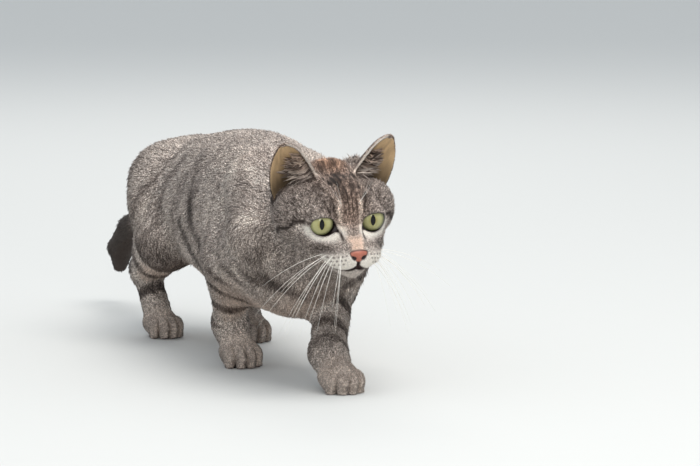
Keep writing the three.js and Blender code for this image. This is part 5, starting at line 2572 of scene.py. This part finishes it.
@dataclass
class CoveredCat:
    """The skin and the coat over it."""

    maker: Maker
    patch: float = 0.0015
    most: int = 48000

    def skin(self, shell: Shell, normals: Points) -> None:
        """Makes the skin, in place of every node of flesh.

        Args:
            shell: The skin's mesh.
            normals: Its outward normals.
        """
        bare = bare_at(shell.points, normals)
        obj = self.maker.piece("skin", shell.points, shell.faces, SkinFinish().make(), "coat")
        self.maker.hold(obj, "coat", Held.COLOUR, skin_colours(shell.points, normals, bare))
        ticking = TABBY.at(shell.points, normals).ticking * (1 - bare.any) * (1 - bare.lining)
        self.maker.hold(obj, "bare", Held.NUMBER, bare.any)
        self.maker.hold(obj, "ticking", Held.NUMBER, np.clip(ticking, 0, 1))
        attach(obj, "root")
        flesh = [name for name in frame_nodes() if not name.startswith("eye")]
        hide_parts(*flesh)
        LOG.info("skin: %d triangles", len(shell.faces))

    def coat(self, tufts: Tufts, name: str, axis: int, material: bpy.types.Material) -> None:
        """Makes one region's tufts, in as many pieces as their number asks.

        Args:
            tufts: The tufts.
            name: The region's name.
            axis: The axis that its baking map goes round.
            material: The finish.
        """
        parts = max(1, math.ceil(len(tufts.roots) / self.most))
        for part in range(parts):
            mine = tufts.part(np.arange(len(tufts.roots)) % parts == part)
            count = len(mine.roots)
            points = mine.places().reshape(-1, 3)
            faces = (np.arange(count)[:, None, None] * 4 + Tufts.corners).reshape(-1, 3)
            label = name if parts == 1 else f"{name}_{part + 1}"
            obj = self.maker.piece(label, points, faces, material, "coat")
            self.maker.hold(obj, "coat", Held.COLOUR, mine.colours().reshape(-1, 3))
            self.maker.hold(obj, "ticking", Held.NUMBER, np.repeat(mine.ticking, 4))
            self.maker.hold(obj, "custom_normal", Held.VECTOR, mine.shading().reshape(-1, 3))
            spot = unwrapped(mine.roots, axis)[:, None]
            offsets = np.array([[0, -1], [-1, 0], [1, 0], [0, 1]]) * self.patch
            self.maker.map(obj, (spot + offsets).reshape(-1, 2))
            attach(obj, "root")
            LOG.info("%s: %d triangles", label, len(faces))

    def grow(self, shell: Shell, normals: Points, thin: float) -> None:
        """Grows the whole coat.

        Args:
            shell: The skin's mesh.
            normals: Its outward normals.
            thin: The share of tufts that are made, 1 for all.
        """
        fur = FurFinish().make()
        coat = Coat(shell, normals, thin)
        tufts = coat.tufts()
        q = HEAD.inward(tufts.roots)
        left = np.ones(len(q), bool)
        for region in regions():
            inside = left & region.holds(tufts.roots, q)
            left &= ~inside
            if inside.any():
                self.coat(tufts.part(inside), region.name, region.axis, fur)
        self.coat(coat.ear_hairs(), "ear_hairs", 0, fur)


def frame_nodes() -> list[str]:
    """The names of the part's nodes."""
    flesh = ["head", "neck", "chest", "abdomen", "rump"]
    flesh += [f"{kind}_{side.word}" for side in Side
              for kind in ("eye", "ear", "foreleg", "forepaw", "hindleg", "hindpaw")]
    return flesh + [f"tail_{i}" for i in (1, 2, 3, 4)]


@dataclass(frozen=True)
class Lamp:
    """A square soft lamp, placed in metres, with its size and power."""

    name: str
    place: Triple
    size: float
    power: float
    tint: Triple = (1.0, 0.97, 0.93)

    def hang(self, target: Triple) -> None:
        """Hangs the lamp, turned to a target."""
        lamp = bpy.data.lights.new(self.name, "AREA")
        lamp.size, lamp.energy, lamp.color = self.size, self.power, self.tint
        obj = bpy.data.objects.new(self.name, lamp)
        obj.location = self.place
        aim = Vector(target) - Vector(self.place)
        obj.rotation_euler = aim.to_track_quat("-Z", "Y").to_euler()
        bpy.context.scene.collection.objects.link(obj)


@dataclass(frozen=True)
class Studio:
    """The floor, the lights and the camera, with the camera's target in the cat's frame."""

    lamps: tuple[Lamp, ...] = (
        Lamp("key", (0.3, -0.9, 2.2), 1.6, 40.0), Lamp("fill", (-0.6, -2.4, 0.9), 0.6, 12.0),
        Lamp("rim", (0.6, 1.8, 1.6), 1.2, 13.0),
    )
    lit: Triple = (0.0, -0.05, 0.1)
    sky: Triple = (0.90, 0.95, 1.0)
    sky_strength: float = 0.84
    floor_half: float = 30000.0
    target: Triple = (13.9, -175.1, 128.2)
    azimuth: float = -20.0
    elevation: float = 7.0
    distance: float = 4.0
    lens: float = 257.14
    film: float = 36.0

    def floor(self) -> None:
        """Lays the floor at the soles."""
        corners = np.array([[-1, -1, 0], [1, -1, 0], [1, 1, 0], [-1, 1, 0]], float)
        obj = Maker().piece("floor", corners * self.floor_half - OFFSET,
                            np.array([[0, 1, 2], [0, 2, 3]]), FloorFinish().make(), "none")
        del obj["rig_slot"]

    def lights(self) -> None:
        """Hangs a wide soft key over the cat, a fill and a rim, under an even sky."""
        world = bpy.data.worlds.new("sky")
        world.use_nodes = True
        background = world.node_tree.nodes["Background"]
        background.inputs["Color"].default_value = (*self.sky, 1)
        background.inputs["Strength"].default_value = self.sky_strength
        bpy.context.scene.world = world
        for lamp in self.lamps:
            lamp.hang(self.lit)

    def camera(self) -> None:
        """Sets the camera low in front of the cat, on its right."""
        aim = (np.array(self.target) + OFFSET) * MILLIMETRE
        azimuth, elevation = math.radians(self.azimuth), math.radians(self.elevation)
        back = Vector((math.sin(azimuth) * math.cos(elevation),
                       -math.cos(azimuth) * math.cos(elevation), math.sin(elevation)))
        data = bpy.data.cameras.new("camera")
        data.lens, data.sensor_width = self.lens, self.film
        obj = bpy.data.objects.new("camera", data)
        obj.location = Vector(aim) + back * self.distance
        obj.rotation_euler = (-back).to_track_quat("-Z", "Y").to_euler()
        bpy.context.scene.collection.objects.link(obj)
        bpy.context.scene.camera = obj

    def build(self) -> None:
        """Sets up the whole studio."""
        self.floor()
        self.lights()
        self.camera()
        bpy.context.scene.view_settings.view_transform = "Standard"


def main() -> None:
    """Builds the cat and its studio."""
    logging.basicConfig(level=logging.INFO, format="%(name)s: %(message)s")
    maker = Maker()
    shell, normals = SkinForm().build()
    cat = CoveredCat(maker)
    cat.skin(shell, normals)
    cat.grow(shell, normals, 1.0)
    EyeBall().build(maker)
    Whiskers().build(maker)
    Studio().build()


if __name__ == "__main__":
    main()
